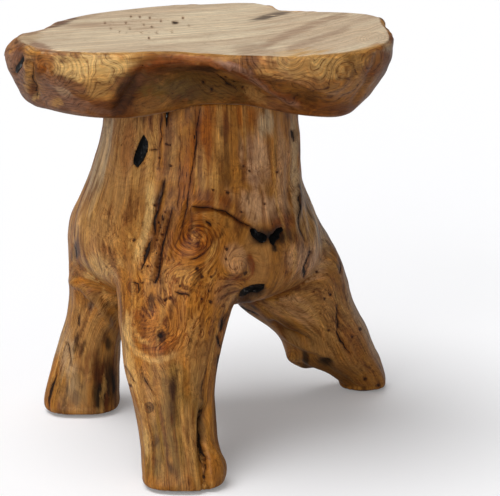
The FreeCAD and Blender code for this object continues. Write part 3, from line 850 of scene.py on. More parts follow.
# Paint: centre, half sizes, turn, colour and strength
STUMP_PATCHES = {
    "left_face": ((118, 185), (32, 90), 14, "tan", 0.8),
    "left_face_glow": ((137, 215), (16, 70), 12, "honey", 0.6),
    # Painted reflection: a pale ash sheen along the trunk's left rim
    "left_rim_painted_reflection": ((97, 170), (8, 62), 16, "ash", 0.8),
    "left_low_light": ((86, 225), (10, 40), 12, "gold", 0.5),
    "kidney_red": ((128, 150), (7, 34), 10, "rust", 0.45),
    "kidney_right_gold": ((152, 170), (6, 60), 4, "gold", 0.75),
    "top_left_dark": ((153, 118), (6, 14), 0, "rust", 0.6),
    "middle_tan": ((172, 150), (10, 45), 3, "tan", 0.7),
    "middle_brown": ((186, 185), (8, 50), 6, "amber", 0.6),
    "middle_orange": ((206, 140), (11, 40), 4, "amber", 0.9),
    "middle_gold": ((201, 175), (6, 30), 0, "gold", 0.65),
    "dark_plume": ((224, 125), (10, 20), 0, "chestnut", 0.9),
    "dark_plume_tail": ((224, 158), (13, 34), -8, "umber", 0.5),
    "orange_plume": ((246, 118), (13, 14), 0, "amber", 0.8),
    "pink_face": ((254, 160), (18, 34), -12, "rose", 0.9),
    "pink_face_mauve": ((256, 176), (16, 10), -20, "mauve", 0.4),
    "grey_column": ((266, 122), (9, 18), 0, "ash", 0.9),
    "right_brown": ((284, 170), (8, 55), -4, "rose", 0.5),
    # Painted reflection: grey ash sheen on the trunk's right flank, as the backdrop's reflection
    "right_flank": ((308, 180), (12, 75), -8, "ash", 0.6),
    "right_flank_low": ((312, 232), (12, 30), -25, "gold", 0.6),
    "right_flank_grey_painted_reflection": ((322, 238), (6, 26), -25, "ash", 0.6),
    "brow_gold": ((255, 205), (30, 16), 25, "rose", 0.75),
    "brow_red": ((280, 218), (14, 10), -20, "chestnut", 0.6),
    "burl": ((205, 250), (46, 46), 0, "honey", 0.8),
    "burl_shade": ((205, 248), (40, 36), 0, "amber", 0.35),
    "burl_swirl": ((197, 236), (18, 20), 0, "amber", 0.6),
    "burl_red_top": ((215, 200), (22, 10), 10, "rust", 0.65),
    "boss_pale": ((235, 258), (14, 16), 0, "rose", 0.5),
    "boss_red": ((252, 266), (5, 14), -10, "rust", 0.8),
    "boss_orange": ((240, 279), (9, 4), 0, "amber", 0.8),
    "burl_low_gold": ((185, 275), (12, 10), 0, "gold", 0.45),
    "knee": ((155, 330), (40, 40), 0, "honey", 0.85),
    "knee_shade": ((158, 330), (30, 34), 0, "amber", 0.35),
    "knee_orange": ((165, 350), (15, 13), 0, "rust", 0.4),
    "knee_eye": ((162, 337), (5, 6), 30, "umber", 0.95),
    "knee_red": ((137, 315), (7, 7), 0, "rust", 0.7),
    "knee_pale": ((126, 333), (10, 22), 10, "straw", 0.6),
    "dark_pool": ((151, 302), (3.5, 9), 0, "umber", 0.85),
    "red_knot": ((132, 287), (8, 8), 0, "chestnut", 0.8),
    "front_leg": ((172, 430), (36, 66), 0, "olive", 0.8),
    "front_leg_left": ((146, 405), (12, 46), 5, "tan", 0.75),
    # Painted light: straw on the front leg's left edge, where the light from the left falls
    "front_leg_painted_light": ((130, 372), (7, 26), -12, "straw", 0.6),
    "front_leg_olive": ((160, 455), (16, 30), 0, "olive", 0.5),
    "front_leg_top": ((175, 376), (26, 14), 0, "olive", 0.5),
    "front_streak_top": ((172, 388), (4, 12), 0, "umber", 0.9),
    "front_streak": ((173, 409), (4.5, 18), 0, "umber", 0.7),
    "front_streak_left": ((156, 441), (3, 8), 0, "umber", 0.75),
    "front_streak_low": ((171, 468), (4, 11), -15, "umber", 0.75),
    "front_streak_foot": ((155, 470), (3, 9), 0, "olive", 0.8),
    "front_leg_right": ((189, 440), (7, 44), 0, "tan", 0.75),
    # Painted shade: umber darkening inside the toe groove
    "front_groove_painted_shade": ((204, 440), (4, 36), 0, "umber", 0.4),
    "front_knot": ((148.5, 407.5), (5.5, 6), 0, "umber", 0.7),
    "front_pink": ((146, 440), (5, 15), 0, "straw", 0.5),
    "front_right_face": ((195, 350), (15, 45), 0, "tan", 0.65),
    "left_leg": ((85, 345), (28, 60), 0, "tan", 0.8),
    "left_leg_pale": ((64, 345), (9, 60), -10, "ash", 0.6),
    "left_shoulder_gold": ((98, 268), (20, 17), 20, "straw", 0.55),
    "purple_patch": ((76, 253), (5, 13), -5, "plum", 0.85),
    "purple_core": ((75, 251), (2.5, 8), -5, "umber", 0.8),
    "shoulder_red": ((82, 274), (4, 4), 0, "rust", 0.5),
    "tendon_shade": ((92, 296), (8, 8), 40, "tan", 0.5),
    "left_stain": ((89, 308), (4, 7), 0, "slate", 0.8),
    "left_stain_low": ((76, 344), (2.5, 13), 8, "umber", 0.9),
    "left_stain_side": ((82, 349), (3, 9), 14, "umber", 0.85),
    # Painted shadow: soot on the left leg's shaded lower right side, with chestnut shade above it
    "left_leg_painted_shadow": ((104, 386), (15, 32), 0, "soot", 0.9),
    "left_leg_painted_shadow_core": ((106, 392), (11, 25), 0, "soot", 0.8),
    "left_leg_shade": ((92, 368), (16, 20), 0, "chestnut", 0.6),
    "left_foot": ((70, 390), (24, 22), 0, "olive", 0.5),
    "left_foot_spot": ((75, 398), (4, 8), 0, "umber", 0.5),
    "left_foot_edge": ((72, 411), (28, 4), 0, "tan", 0.6),
    # Painted shade: soot in the gap between the left and front legs
    "legs_gap_painted_shade": ((107, 342), (4, 9), 0, "soot", 0.85),
    "right_leg": ((325, 320), (40, 60), -30, "tan", 0.7),
    "right_leg_olive": ((285, 308), (34, 15), 25, "rose", 0.35),
    "right_leg_red": ((350, 340), (14, 22), -20, "amber", 0.4),
    "right_leg_shade": ((290, 328), (26, 8), 30, "umber", 0.55),
    "right_leg_low": ((335, 374), (36, 12), 25, "umber", 0.5),
    # Painted shade: soot inside the right leg's sculpted pocket and beside it
    "right_pocket_painted_shade": ((327, 362), (8, 5), 20, "soot", 0.85),
    "pocket_side_painted_shade": ((306, 358), (4, 9), 0, "soot", 0.85),
    # Painted highlight: tan along the lit ridge below the right leg's fold
    "right_fold_painted_highlight": ((300, 342), (24, 3), 25, "tan", 0.6),
    "right_bump_gold": ((293, 356), (8, 9), 0, "honey", 0.6),
    # Painted reflection: a pale ash sheen along the right leg's rim
    "right_rim_painted_reflection": ((362, 320), (7, 50), -22, "ash", 0.45),
    "right_shoulder_pale": ((308, 262), (22, 20), 0, "rose", 0.6),
    "knots_red": ((280, 226), (16, 8), -25, "rust", 0.6),
    "knots_shade": ((268, 236), (24, 11), 0, "umber", 0.75),
    "knots_soot": ((268, 236), (18, 7), 0, "soot", 0.7),
    "crotch_black": ((254, 292), (13, 6), -15, "soot", 0.95),
    "fork_shade": ((246, 303), (13, 4), 25, "umber", 0.8),
    "crotch_pink": ((225, 292), (16, 18), 30, "mauve", 0.4),
}
# Painted strokes: the pixels that each runs through, half its width in pixels, colour and strength
STUMP_BANDS = {
    # Pale tan along the tendon: partly its own pale colour, partly painted light on its left-lit ridge
    "tendon_pale_and_painted_light": ([(66, 279), (84, 286), (96, 300), (106, 314), (112, 330), (118, 345)],
                     4.5, "tan", 0.5),
    "tendon_upper": ([(88, 262), (98, 272), (104, 285), (106, 300)], 3, "gold", 0.7),
    "check_stain": ([(165, 180), (160, 196), (156, 208)], 4, "umber", 0.85),
    "check_brown": ([(158, 200), (156, 225), (152, 245), (144, 262)], 4.5, "chestnut", 0.7),
    "second_brown": ([(172, 205), (165, 235), (159, 262), (154, 285)], 5, "chestnut", 0.75),
    "pale_strip": ([(151, 180), (149, 210), (143, 240), (136, 262)], 4.5, "straw", 0.6),
    "knee_light": ([(118, 322), (127, 334), (137, 352), (152, 361), (166, 359), (178, 351)],
                   3.5, "straw", 0.45),
    "knee_dark": ([(131, 318), (138, 334), (150, 349), (165, 350), (178, 338)], 2.5, "rust", 0.5),
    "knee_light_inner": ([(134, 326), (142, 340), (152, 345)], 2, "gold", 0.7),
    "brow_shade": ([(192, 209), (212, 209), (228, 214), (252, 229)], 3.5, "chestnut", 0.8),
    "flank_dark": ([(297, 180), (298, 220), (303, 238)], 2.5, "umber", 0.65),
    # Painted highlight: pale ash along the right flank's ridge
    "flank_painted_highlight": ([(293, 115), (294, 160), (295, 205), (299, 235)], 2.5, "ash", 0.7),
    "boss_rim": ([(250, 254), (255, 264), (253, 275), (246, 281)], 2, "rust", 0.85),
    "drip": ([(274, 238), (275, 252)], 4.0, "soot", 0.95),
    "knot_bridge": ([(264, 236), (274, 237)], 3.0, "soot", 0.95),
}
# Knots that the grain runs round: centre and radius in pixels
STUMP_KNOTS = {
    "kidney": ((140, 151), 13),
    "front_knot": ((148.5, 407.5), 9),
    "red_knot": ((132, 287), 9),
    "twin_left": ((259, 236), 12),
    "twin_right": ((277, 234), 12),
    "boss": ((240, 267), 13),
}
# Swirls of the grain: centre and radius in pixels, and turns
STUMP_SWIRLS = {
    "burl_swirl": ((195, 239), 20, 0.7),
    "knee": ((158, 335), 24, -0.2),
    "boss": ((240, 267), 15, 0.4),
    "right_leg": ((310, 310), 22, 0.35),
    "shoulder": ((82, 272), 14, -0.4),
}
# Ring lines: centre, half sizes, turn, spacing in pixels and strength
STUMP_RINGS = {
    "burl_swirl": ((195, 239), (19, 21), 20, 3.6, 0.8),
    "boss": ((240, 267), (15, 16), 0, 4.0, 0.6),
    "front_knot": ((148.5, 407.5), (11, 12), 0, 3.4, 0.9),
    "red_knot": ((132, 287), (9, 9), 0, 3.0, 0.7),
    "right_leg_eye": ((328, 314), (13, 17), -20, 4.0, 0.6),
    "right_bump": ((293, 356), (11, 13), 0, 3.5, 0.6),
}
# Waves that hang in a U below the knee, and the pixel rows between which they set in
KNEE_WAVES = ((152, 312), (40, 52), 0, 4.6, 0.6)
KNEE_WAVES_TOP = (314, 330)
# The curly area: centre, half sizes and turn
BURL_AREA = ((190, 285), (70, 85), 15)

# Soft streaks on all sides: colour, size in millimetres, the noise where each sets in and is full, and
# strength. Each row takes the next seed.
STUMP_STREAK_SEED = 31
STUMP_STREAKS = [
    ("tan", 24, 0.0, 0.7, 0.8),
    ("amber", 20, 0.15, 0.8, 0.75),
    ("chestnut", 15, 0.45, 0.9, 0.7),
    ("ash", 30, 0.5, 1.0, 0.5),
    ("umber", 9, 0.75, 1.1, 0.7),
]
STUMP_STREAKS_HELD = 0.75
STUMP_FLECK_SEED = 81
STUMP_FLECKS = [
    ("chestnut", 6, 0.35, 1.0, 0.65),
    ("gold", 7, 0.45, 1.1, 0.5),
    ("umber", 4, 0.8, 1.3, 0.6),
]


def weathered_paint(dressing, seed, ramp, held=0.0):
    """Lay soft streaks of colour along the grain over the whole piece, so that every side is finished.
    The share that is held back goes where the camera sees the piece, since other marks give its colour."""
    flow = dressing.grain * (1, 1, 0.12)
    for index, (colour, size, low, high, strength) in enumerate(ramp):
        mask = ease(low, high, noise(flow, size, seed + index, 3))
        dressing.cover(colour, strength * mask * (1 - held * dressing.sight))


def stump_shape():
    """Work out the stump's surface: the field's net, pulled onto the zero surface, and outward normals."""
    axes = [np.arange(low, high, STUMP_STEP) for low, high in zip(STUMP_LOW, STUMP_HIGH)]
    x, y, z = np.meshgrid(*axes, indexing="ij", sparse=True)
    points, faces = net_surface(stump_field(x, y, z).astype(np.float32), STUMP_LOW, STUMP_STEP)
    for _ in range(STUMP_PULLS):
        value, slope = field_slope(points)
        points -= slope * (value / np.maximum(np.sum(slope**2, axis=1), LEAST_SLOPE))[:, None]
    _, slope = field_slope(points)
    return points, faces, unit(slope)


def stump_grain(points):
    """The grain's own coordinates: each limb's section place, mixed by how near the limb is."""
    fields, places = limbs(*points.T)
    limit = 9 * GRAIN_BLEND
    weights = np.stack([np.exp(-np.clip(field, -limit, limit) / GRAIN_BLEND) for field in fields])
    weights /= weights.sum(axis=0)
    return sum(weight[:, None] * np.stack(np.broadcast_arrays(*place), axis=1)
               for weight, place in zip(weights, places))


def dress_stump(points, normals):
    """Sculpt and paint the stump: lumps and flutes everywhere, then the marks that the front shows."""
    marks = Dressing(points, normals)
    marks.grain = stump_grain(points)
    marks.ragged = noise(marks.grain * (1, 1, 0.25), *NOISES["stump_ragged"])
    level = ease(*SOLE_FADE, points[:, 2]) * ease(*JOINT_FADE, points[:, 2])
    flutes = noise(marks.grain * (1, 1, 0.08), *NOISES["stump_flutes"])
    lumps = noise(points, *NOISES["stump_lumps"])
    marks.push = level * (0.9 * flutes + 1.0 * lumps)
    marks.figure[:, 0] = ease(0.25, 0.9, noise(points, *NOISES["stump_burl"])) * 0.7
    marks.figure[:, 1] = 2.6 * lumps + 0.5 * flutes
    marks.figure[:, 2] = 0.3
    marks.tone[:, 0] = 0.8 + 0.3 * noise(marks.grain * (1, 1, 0.4), *NOISES["stump_tone"])
    marks.paint[:] = COLOURS["honey"]
    weathered_paint(marks, STUMP_STREAK_SEED, STUMP_STREAKS, held=STUMP_STREAKS_HELD)
    lay(marks.tint, STUMP_PATCHES)
    weathered_paint(marks, STUMP_FLECK_SEED, STUMP_FLECKS)
    lay(marks.band, STUMP_BANDS)
    lay(marks.knot, STUMP_KNOTS)
    lay(marks.swirl, STUMP_SWIRLS)
    lay(marks.swell, STUMP_SWELLS)
    lay(marks.ridge, STUMP_RIDGES)
    burl = ease(1.1, 0.6, patch_distance(marks.pixels, *BURL_AREA))
    marks.figure[:, 0] = np.maximum(marks.figure[:, 0], marks.sight * burl)
    lay(marks.rings, STUMP_RINGS)
    marks.rings(*KNEE_WAVES, where=ease(*KNEE_WAVES_TOP, marks.pixels[:, 1]))
    lay(marks.split, STUMP_CRACKS)
    lay(marks.pit, STUMP_PITS)
    for radius, centres in STUMP_SPECKS.items():
        marks.dots(centres, radius)
    return marks


# The seat as a surface over bearing and profile


# How many points lie in a ring, and how many rings on the top, its rounded edge, the side and the underside
SEAT_TURNS = 640
SEAT_TOP_RINGS = 44
SEAT_ROUND_RINGS = 12
SEAT_SIDE_RINGS = 46
SEAT_UNDER_RINGS = 26
SEAT_TOP_SPACING = 0.8
# The side: how far it bellies out, and by height the share of the undercut that is gone and its belly
SEAT_BELLY = 2.0
SEAT_SIDE = np.array([
    (JOINT_Z, 1, 0),
    (372, 0.5, 0),
    (394, 0.12, SEAT_BELLY),
    (416, 0, SEAT_BELLY),
])
SEAT_BOTTOM_ROUND = 5.0
SEAT_LIP_POWER = 0.6
# How high above the joint the droop begins, and at which share of the underside's edge
SEAT_DROOP_RISE = 40
SEAT_DROOP_SHARE = 0.75
# The grain on top runs askew and bends with the right lobe; on the side it follows height, reach and depth
GRAIN_SKEW = 0.5
GRAIN_BEND = 0.0045
SIDE_GRAIN = (0.8, 0.2, 0.15)
SIDE_GRAIN_THROUGH = 0.3

# The seat's marks, in the same columns as the stump's
SEAT_SWELLS = {
    "recess": ((205, 85), (56, 17), 4, -7),
    "left_lobe": ((85, 82), (45, 26), 0, 3),
    "right_lobe": ((325, 82), (48, 32), 0, 4),
    "swirl_dent": ((43, 68), (6, 8), 0, -3),
    "knob": ((12, 66), (10, 18), 0, 3),
}
SEAT_RIDGES = {
    "left_crease": ([(29, 58), (31, 75), (34, 90), (38, 101)], 5, -3),
    "left_fold": ([(26, 46), (27, 65), (28, 82), (32, 98)], 6, 1.2),
    "rim_ridge": ([(170, 58), (210, 61), (240, 68), (265, 84), (300, 108)], 6, 4),
    "recess_left": ([(146, 62), (136, 80), (124, 98), (114, 116)], 6, -3),
    "right_end_fold": ([(380, 50), (372, 70), (360, 92), (350, 108)], 5, -2),
}
SEAT_CRACKS = {
    "crease_dark": ([(30, 64), (31, 76), (33, 88), (36, 98)], 0.7, 0.4),
    "recess_line": ([(213, 72), (218, 80), (226, 88), (236, 92)], 0.7, 0.5),
    "top_check": ([(171, 22.6), (175, 22.8), (179, 22.6)], 1.2, 0.4),
}
SEAT_SPECKS = {
    0.6: [(130, 29), (142, 33), (126, 23), (131, 16.5), (144, 25), (152, 27), (150, 18), (140, 17),
          (157, 33), (161, 21), (149, 38), (172, 32), (183, 18), (189, 26), (111, 29), (120, 32), (105, 23)],
    0.9: [(225, 79), (233, 86), (242, 90), (203, 88), (211, 93)],
}
SEAT_PITS = {
    "top_trail": ((128, 26), (34, 8), 18, 0.20),
    "top_trail_right": ((165, 33), (20, 6), 0, 0.10),
    "recess": ((235, 86), (14, 7), 25, 0.5),
    "recess_left": ((208, 90), (8, 5), 0, 0.5),
}
SEAT_PATCHES = {
    "pale_left": ((120, 38), (80, 12), -5, "cream", 0.6),
    "pale_middle": ((210, 25), (60, 18), -4, "cream", 0.65),
    "grey_front": ((120, 46), (70, 5), 0, "sand", 0.5),
    "right_lobe_top": ((320, 30), (60, 20), -10, "sand", 0.8),
    "pink_zone": ((248, 49), (26, 6), 0, "mauve", 0.45),
    "back_stain": ((60, 22.5), (17, 3.4), -14, "slate", 0.95),
    "back_stain_tail": ((84, 17), (18, 2), -9, "mauve", 0.3),
    "notch_streak": ((268, 16.5), (22, 3.2), -14, "slate", 0.9),
    "tip_brown": ((28, 38), (12, 9), -30, "ash", 0.6),
    "tip_edge": ((40, 46), (14, 4), 20, "mauve", 0.7),
    "knob": ((15, 66), (14, 26), 0, "mauve", 0.85),
    "knob_red": ((20, 52), (6, 9), 0, "chestnut", 0.5),
    "knob_grey": ((8, 67), (3, 5), 0, "slate", 0.8),
    "fold_gold": ((28, 75), (4, 20), 0, "gold", 0.45),
    # Straw on the left lobe's side: partly golden wood, partly painted lacquer sheen
    "left_gold": ((92, 66), (46, 14), 0, "straw", 0.9),
    "left_gold_low": ((98, 84), (16, 18), 10, "gold", 0.6),
    "left_swirl": ((45, 66), (9, 8), 0, "amber", 0.75),
    "left_mauve": ((54, 86), (19, 13), 10, "mauve", 0.65),
    "left_mauve_light": ((62, 92), (10, 5), 15, "ash", 0.4),
    "left_bottom": ((70, 104), (40, 8), 12, "mauve", 0.6),
    "left_spot": ((56, 103), (6, 5), 0, "gold", 0.6),
    "left_spot_tip": ((36, 97), (3, 4), 0, "straw", 0.6),
    "dark_band": ((127, 93), (11, 26), 25, "umber", 0.85),
    "dark_band_top": ((150, 66), (28, 6), -12, "rust", 0.6),
    # The recess's moss is partly the wood's olive colour, partly painted shade in the undercut; soot and
    # umber below are painted shade under the lip
    "recess": ((200, 88), (62, 18), 3, "moss", 0.9),
    "recess_deep_painted_shade": ((207, 69), (20, 5), 6, "soot", 0.9),
    "recess_shade": ((180, 68), (34, 6), 0, "umber", 0.6),
    "recess_gold": ((226, 77), (12, 5), 15, "honey", 0.4),
    "recess_floor": ((165, 90), (24, 10), -5, "olive", 0.7),
    "recess_gold_low": ((255, 95), (14, 8), 35, "tan", 0.6),
    "right_gold": ((310, 66), (40, 14), 0, "straw", 0.8),
    "right_lobe": ((325, 85), (50, 30), 0, "honey", 0.45),
    "right_lobe_core": ((302, 68), (16, 12), 0, "tan", 0.7),
    "right_dark": ((305, 96), (16, 8), 0, "umber", 0.55),
    "right_bottom": ((330, 110), (40, 8), 0, "chestnut", 0.65),
    "right_end": ((375, 62), (12, 20), 25, "rust", 0.55),
    # Painted reflection: pale ash on the right end's rim
    "right_end_rim_painted_highlight": ((388, 46), (5, 7), 0, "ash", 0.6),
}
SEAT_BANDS = {
    "rim_red": ([(165, 60), (200, 60), (235, 66), (262, 82), (300, 108)], 4.5, "rust", 0.8),
    "rim_mauve": ([(215, 60), (245, 69), (266, 86), (300, 110)], 3, "mauve", 0.9),
    # Painted highlights: thin gold lines where the top meets the side
    "rim_line_painted_highlight": ([(60, 53), (120, 53.5), (190, 54), (240, 57)], 1.2, "gold", 0.5),
    "lobe_rim_painted_highlight": ([(275, 58), (310, 57), (350, 52), (388, 43)], 1.5, "gold", 0.6),
    "top_brown": ([(262, 46), (290, 34), (330, 18), (352, 12)], 4.0, "mauve", 0.45),
    "top_brown_low": ([(285, 50), (320, 38), (352, 26)], 3.0, "mauve", 0.4),
    "back_dark": ([(22, 36), (45, 28), (75, 18)], 2.2, "mauve", 0.6),
}
SEAT_SWIRLS = {
    "left_swirl": ((44, 68), 11, 0.6),
    "right_top": ((374, 37), 12, 0.5),
    "recess_swirl": ((235, 86), 12, 0.5),
    "right_lobe": ((300, 66), 16, 0.3),
}
SEAT_SIDE_RINGS_SEEN = {
    "left_waves": ((46, 66), (100, 56), 8, 6.5, 0.8),
    "recess_waves": ((235, 84), (70, 24), 15, 6.0, 0.6),
    "lobe_outer_u": ((305, 48), (84, 76), 0, 7.5, 0.95),
    "lobe_u": ((292, 54), (22, 26), 0, 5.0, 0.8),
    "end_swirl": ((372, 60), (14, 20), 25, 5.0, 0.8),
}
SEAT_TOP_RINGS_SEEN = {
    "top_swirl": ((372, 38), (20, 8), -8, 3.4, 0.5),
}
SEAT_STREAK_SEED = 51
SEAT_STREAKS = [
    ("cream", 26, -0.1, 0.6, 0.8),
    ("mauve", 12, 0.5, 1.1, 0.35),
]
# Soft clouds round the live edge
SEAT_CLOUD_SEED = 61
SEAT_CLOUDS = [
    ("gold", 40, -0.4, 0.9, 0.7),
    ("chestnut", 34, -0.2, 0.9, 0.8),
    ("mauve", 36, 0.0, 1.0, 0.6),
    ("umber", 22, 0.4, 1.1, 0.5),
]


def seat_shape():
    """Work out the seat over bearing and profile: rings run from the top's middle out to the rim, over its
    rounded edge, down the side and in along the underside. The side is the rim less a share of the
    undercut: a swelling share that grows towards the bottom, or a recess that cuts in below its lip."""
    bearings = np.arange(len(SEAT_EDGE)) * 360 / len(SEAT_EDGE)
    turns = np.arange(SEAT_TURNS) * 360 / SEAT_TURNS
    rim, undercut, rounding, hollow, lip, droop = spline(bearings, SEAT_EDGE, 360)(turns).T
    hollow = np.clip(hollow, 0, 1)
    swell = spline(SEAT_SIDE[:, 0], SEAT_SIDE[:, 1:])
    rings = []
    for share in np.linspace(0, 1, SEAT_TOP_RINGS + 1)[1:] ** SEAT_TOP_SPACING:
        rings.append((share * (rim - rounding), np.full(SEAT_TURNS, STOOL_TOP)))
    for turn in np.linspace(0, math.pi / 2, SEAT_ROUND_RINGS + 1)[1:]:
        reach = rim - rounding + (rounding + SEAT_BELLY) * math.sin(turn)
        rings.append((reach, STOOL_TOP - rounding * (1 - math.cos(turn))))
    for share in np.linspace(0, 1, SEAT_SIDE_RINGS + 1)[1:]:
        height = (STOOL_TOP - rounding) + share * (JOINT_Z - STOOL_TOP + rounding)
        inset, belly = swell(height).T
        below = np.clip((lip - height) / (lip - JOINT_Z), 0, 1)
        inset = inset + hollow * (below**SEAT_LIP_POWER - inset)
        bottom = np.clip(1 - (height - JOINT_Z) / SEAT_BOTTOM_ROUND, 0, 1)
        tuck = SEAT_BOTTOM_ROUND * (1 - np.sqrt(1 - bottom**2))
        sag = droop * ease(JOINT_Z + SEAT_DROOP_RISE, JOINT_Z, height)
        rings.append((rim - inset * undercut + belly - tuck, height - sag))
    edge = rings[-1][0]
    for share in np.linspace(1, 0, SEAT_UNDER_RINGS + 1)[1:-1]:
        rings.append((edge * share, JOINT_Z - droop * ease(SEAT_DROOP_SHARE, 1, share)))
    reach, height = (np.array(column) for column in zip(*rings))
    angle = np.radians(turns)
    return np.stack([reach * np.cos(angle), reach * np.sin(angle), height], axis=-1)


def sheet_normals(sheet):
    """Outward normals of a sheet of rings, from its slopes along the rings and across them."""
    along = np.roll(sheet, -1, axis=1) - np.roll(sheet, 1, axis=1)
    across = np.gradient(sheet, axis=0)
    return unit(np.cross(across, along).reshape(-1, 3))


def closed_rings(sheet):
    """Join rings into quads, and close the first and last ring with a fan round a pole."""
    count, turns = sheet.shape[:2]
    ring = np.arange(turns)
    ahead = (ring + 1) % turns
    start = (np.arange(count - 1) * turns)[:, None]
    quads = np.stack([start + ring, start + turns + ring, start + turns + ahead, start + ahead], axis=-1)
    top, bottom = count * turns, count * turns + 1
    last = (count - 1) * turns
    first_fan = np.stack([np.full(turns, top), ring, ahead, ahead], axis=-1)
    last_fan = np.stack([last + ring, np.full(turns, bottom), last + ahead, last + ahead], axis=-1)
    poles = np.stack([sheet[0].mean(axis=0), sheet[-1].mean(axis=0)])
    points = np.concatenate([sheet.reshape(-1, 3), poles])
    return points, np.concatenate([quads.reshape(-1, 4), first_fan, last_fan])


def seat_grain(points, normals):
    """The grain's own coordinates: along the slab on top, turning with the right lobe, and along the side
    and the underside elsewhere."""
    x, y, z = points.T
    bend = np.where(x > 0, GRAIN_BEND * x**2, 0)
    top = np.stack([y - GRAIN_SKEW * x - bend, z, x + GRAIN_SKEW * y], axis=1)
    height, reach, depth = SIDE_GRAIN
    across = height * z + reach * np.hypot(x, y) + depth * y
    side = np.stack([across, SIDE_GRAIN_THROUGH * y, x], axis=1)
    upright = ease(0.7, 0.95, normals[:, 2])[:, None]
    return top * upright + side * (1 - upright)


def dress_seat(points, normals):
    """Sculpt and paint the seat: a worn live edge all round, then the marks that the front and top show."""
    marks = Dressing(points, normals)
    marks.grain = seat_grain(points, normals)
    flat = ease(0.93, 0.99, np.abs(normals[:, 2]))
    marks.ragged = noise(marks.grain * (1, 1, 0.25), *NOISES["seat_ragged_top"]) * flat
    marks.ragged += noise(points, *NOISES["seat_ragged_side"]) * (1 - flat)
    lumps = noise(points * (1, 1, 1.5), *NOISES["seat_lumps"])
    marks.push = (1 - flat) * (1.6 * lumps + 0.5 * noise(points, *NOISES["seat_ripples"]))
    marks.figure[:, 0] = ease(0.4, 1.0, noise(points, *NOISES["seat_burl"])) * 0.25 * (1 - flat)
    marks.figure[:, 1] = 1.2 * lumps + 0.07 * (STOOL_TOP - points[:, 2])
    marks.figure[:, 2] = 0.45 * (1 - flat) + 0.12 * flat
    marks.tone[:, 0] = 0.5
    marks.tone[:, 1] = 0.16 * flat
    marks.paint[:] = COLOURS["sand"]
    weathered_paint(marks, SEAT_STREAK_SEED, SEAT_STREAKS)
    marks.cover("honey", 1 - flat)
    for index, (colour, size, low, high, strength) in enumerate(SEAT_CLOUDS):
        cloud = ease(low, high, noise(points, size, SEAT_CLOUD_SEED + index, 2))
        marks.cover(colour, strength * (1 - flat) * cloud)
    # Painted shade: faces that turn downwards are darkened with chestnut
    marks.cover("chestnut", ease(0.0, -0.7, normals[:, 2]) * 0.6)
    lay(marks.tint, SEAT_PATCHES)
    lay(marks.band, SEAT_BANDS)
    lay(marks.swirl, SEAT_SWIRLS)
    lay(marks.swell, SEAT_SWELLS)
    lay(marks.ridge, SEAT_RIDGES)
    lay(marks.rings, SEAT_SIDE_RINGS_SEEN, where=1 - flat)
    lay(marks.rings, SEAT_TOP_RINGS_SEEN, where=flat)
    lay(marks.split, SEAT_CRACKS)
    lay(marks.pit, SEAT_PITS)
    for radius, centres in SEAT_SPECKS.items():
        marks.dots(centres, radius)
    return marks


# Resin fills: black pools in the hollows, on the sculpted surface


# The piece that holds each fill, and the fill's outline in pixels round its hollow
FILLS = {
    "kidney_knot_fill": ("stump", [(143, 134), (147.5, 142), (147, 151), (143, 160), (137, 168),
                                   (132, 163), (134, 153), (138, 143)]),
    "shake_fill": ("stump", [(165.5, 104), (169, 104), (168.5, 112), (167.5, 120), (166.5, 129),
                             (165.5, 121), (165, 112)]),
    "left_knot_fill": ("stump", [(251, 229), (256, 227.5), (259, 231), (264, 232.5), (269, 236), (268, 241),
                                 (263, 243.5), (258, 239.5), (253, 235)]),
    "right_knot_fill": ("stump", [(270, 236), (274, 233.5), (277, 229), (283, 226.5), (285, 229.5),
                                  (281, 234), (281, 238), (277, 241), (275, 246), (271.5, 243)]),
    "crotch_fill": ("stump", [(240, 299), (245, 290), (252, 286), (266, 285), (265, 292),
                              (259, 297), (252, 298), (246, 300)]),
    "slit_fill": ("seat", [(23, 55), (24, 60), (21, 67), (17, 74), (15.5, 73), (16.5, 67), (20, 60)]),
}
FILL_TURNS = 48
FILL_RINGS = 9
FILL_FIRST_RING = 0.12
# How deep the face lies at the middle, how much deeper at its rim, and how deep the back lies
FILL_SINK = 1.0
FILL_DIP = 0.8
FILL_DEPTH = 7.0
# How many pixels round a place are averaged to find the surface there
SURFACE_BLUR = 2.0
# How the wood gives way to a fill: the pixels from its outline where that sets in and is full, the depth in
# millimetres, and how dark the hollow is
HOLLOW_EDGE = (1.2, -1.4)
HOLLOW_DEPTH = 3.6
HOLLOW_STAIN = 0.7


def surface_at(pixels, marks, points):
    """Find surface points and normals under pixels, as the mean of the seen vertices close by."""
    seen = marks.sight > 0.5
    seen_pixels = marks.pixels[seen]
    places = []
    facings = []
    for pixel in pixels:
        away = np.sum((seen_pixels - pixel) ** 2, axis=1)
        weight = np.exp(-away / (2 * SURFACE_BLUR**2)) + 1e-30
        weight /= weight.sum()
        places.append(weight @ points[seen])
        facings.append(weight @ marks.normals[seen])
    return np.array(places), unit(np.array(facings))


def fill_shape(outline, marks, points):
    """Work out a resin pool: rings shrink from a smooth outline to its middle on the face, and the back is
    the same rings sunk into the wood. The face dips a little towards its rim."""
    outline = np.asarray(outline, float)
    turns = np.arange(FILL_TURNS) * len(outline) / FILL_TURNS
    rim = spline(np.arange(len(outline)), outline, len(outline))(turns)
    middle = rim.mean(axis=0)
    shares = np.linspace(FILL_FIRST_RING, 1, FILL_RINGS)
    pixels = middle + shares[:, None, None] * (rim - middle)
    places, facings = surface_at(pixels.reshape(-1, 2), marks, points)
    sink = np.repeat(FILL_SINK + FILL_DIP * shares**4, FILL_TURNS)[:, None]
    face = (places - sink * facings).reshape(FILL_RINGS, FILL_TURNS, 3)
    back = (places - FILL_DEPTH * facings).reshape(FILL_RINGS, FILL_TURNS, 3)[::-1]
    return np.concatenate([face, back])


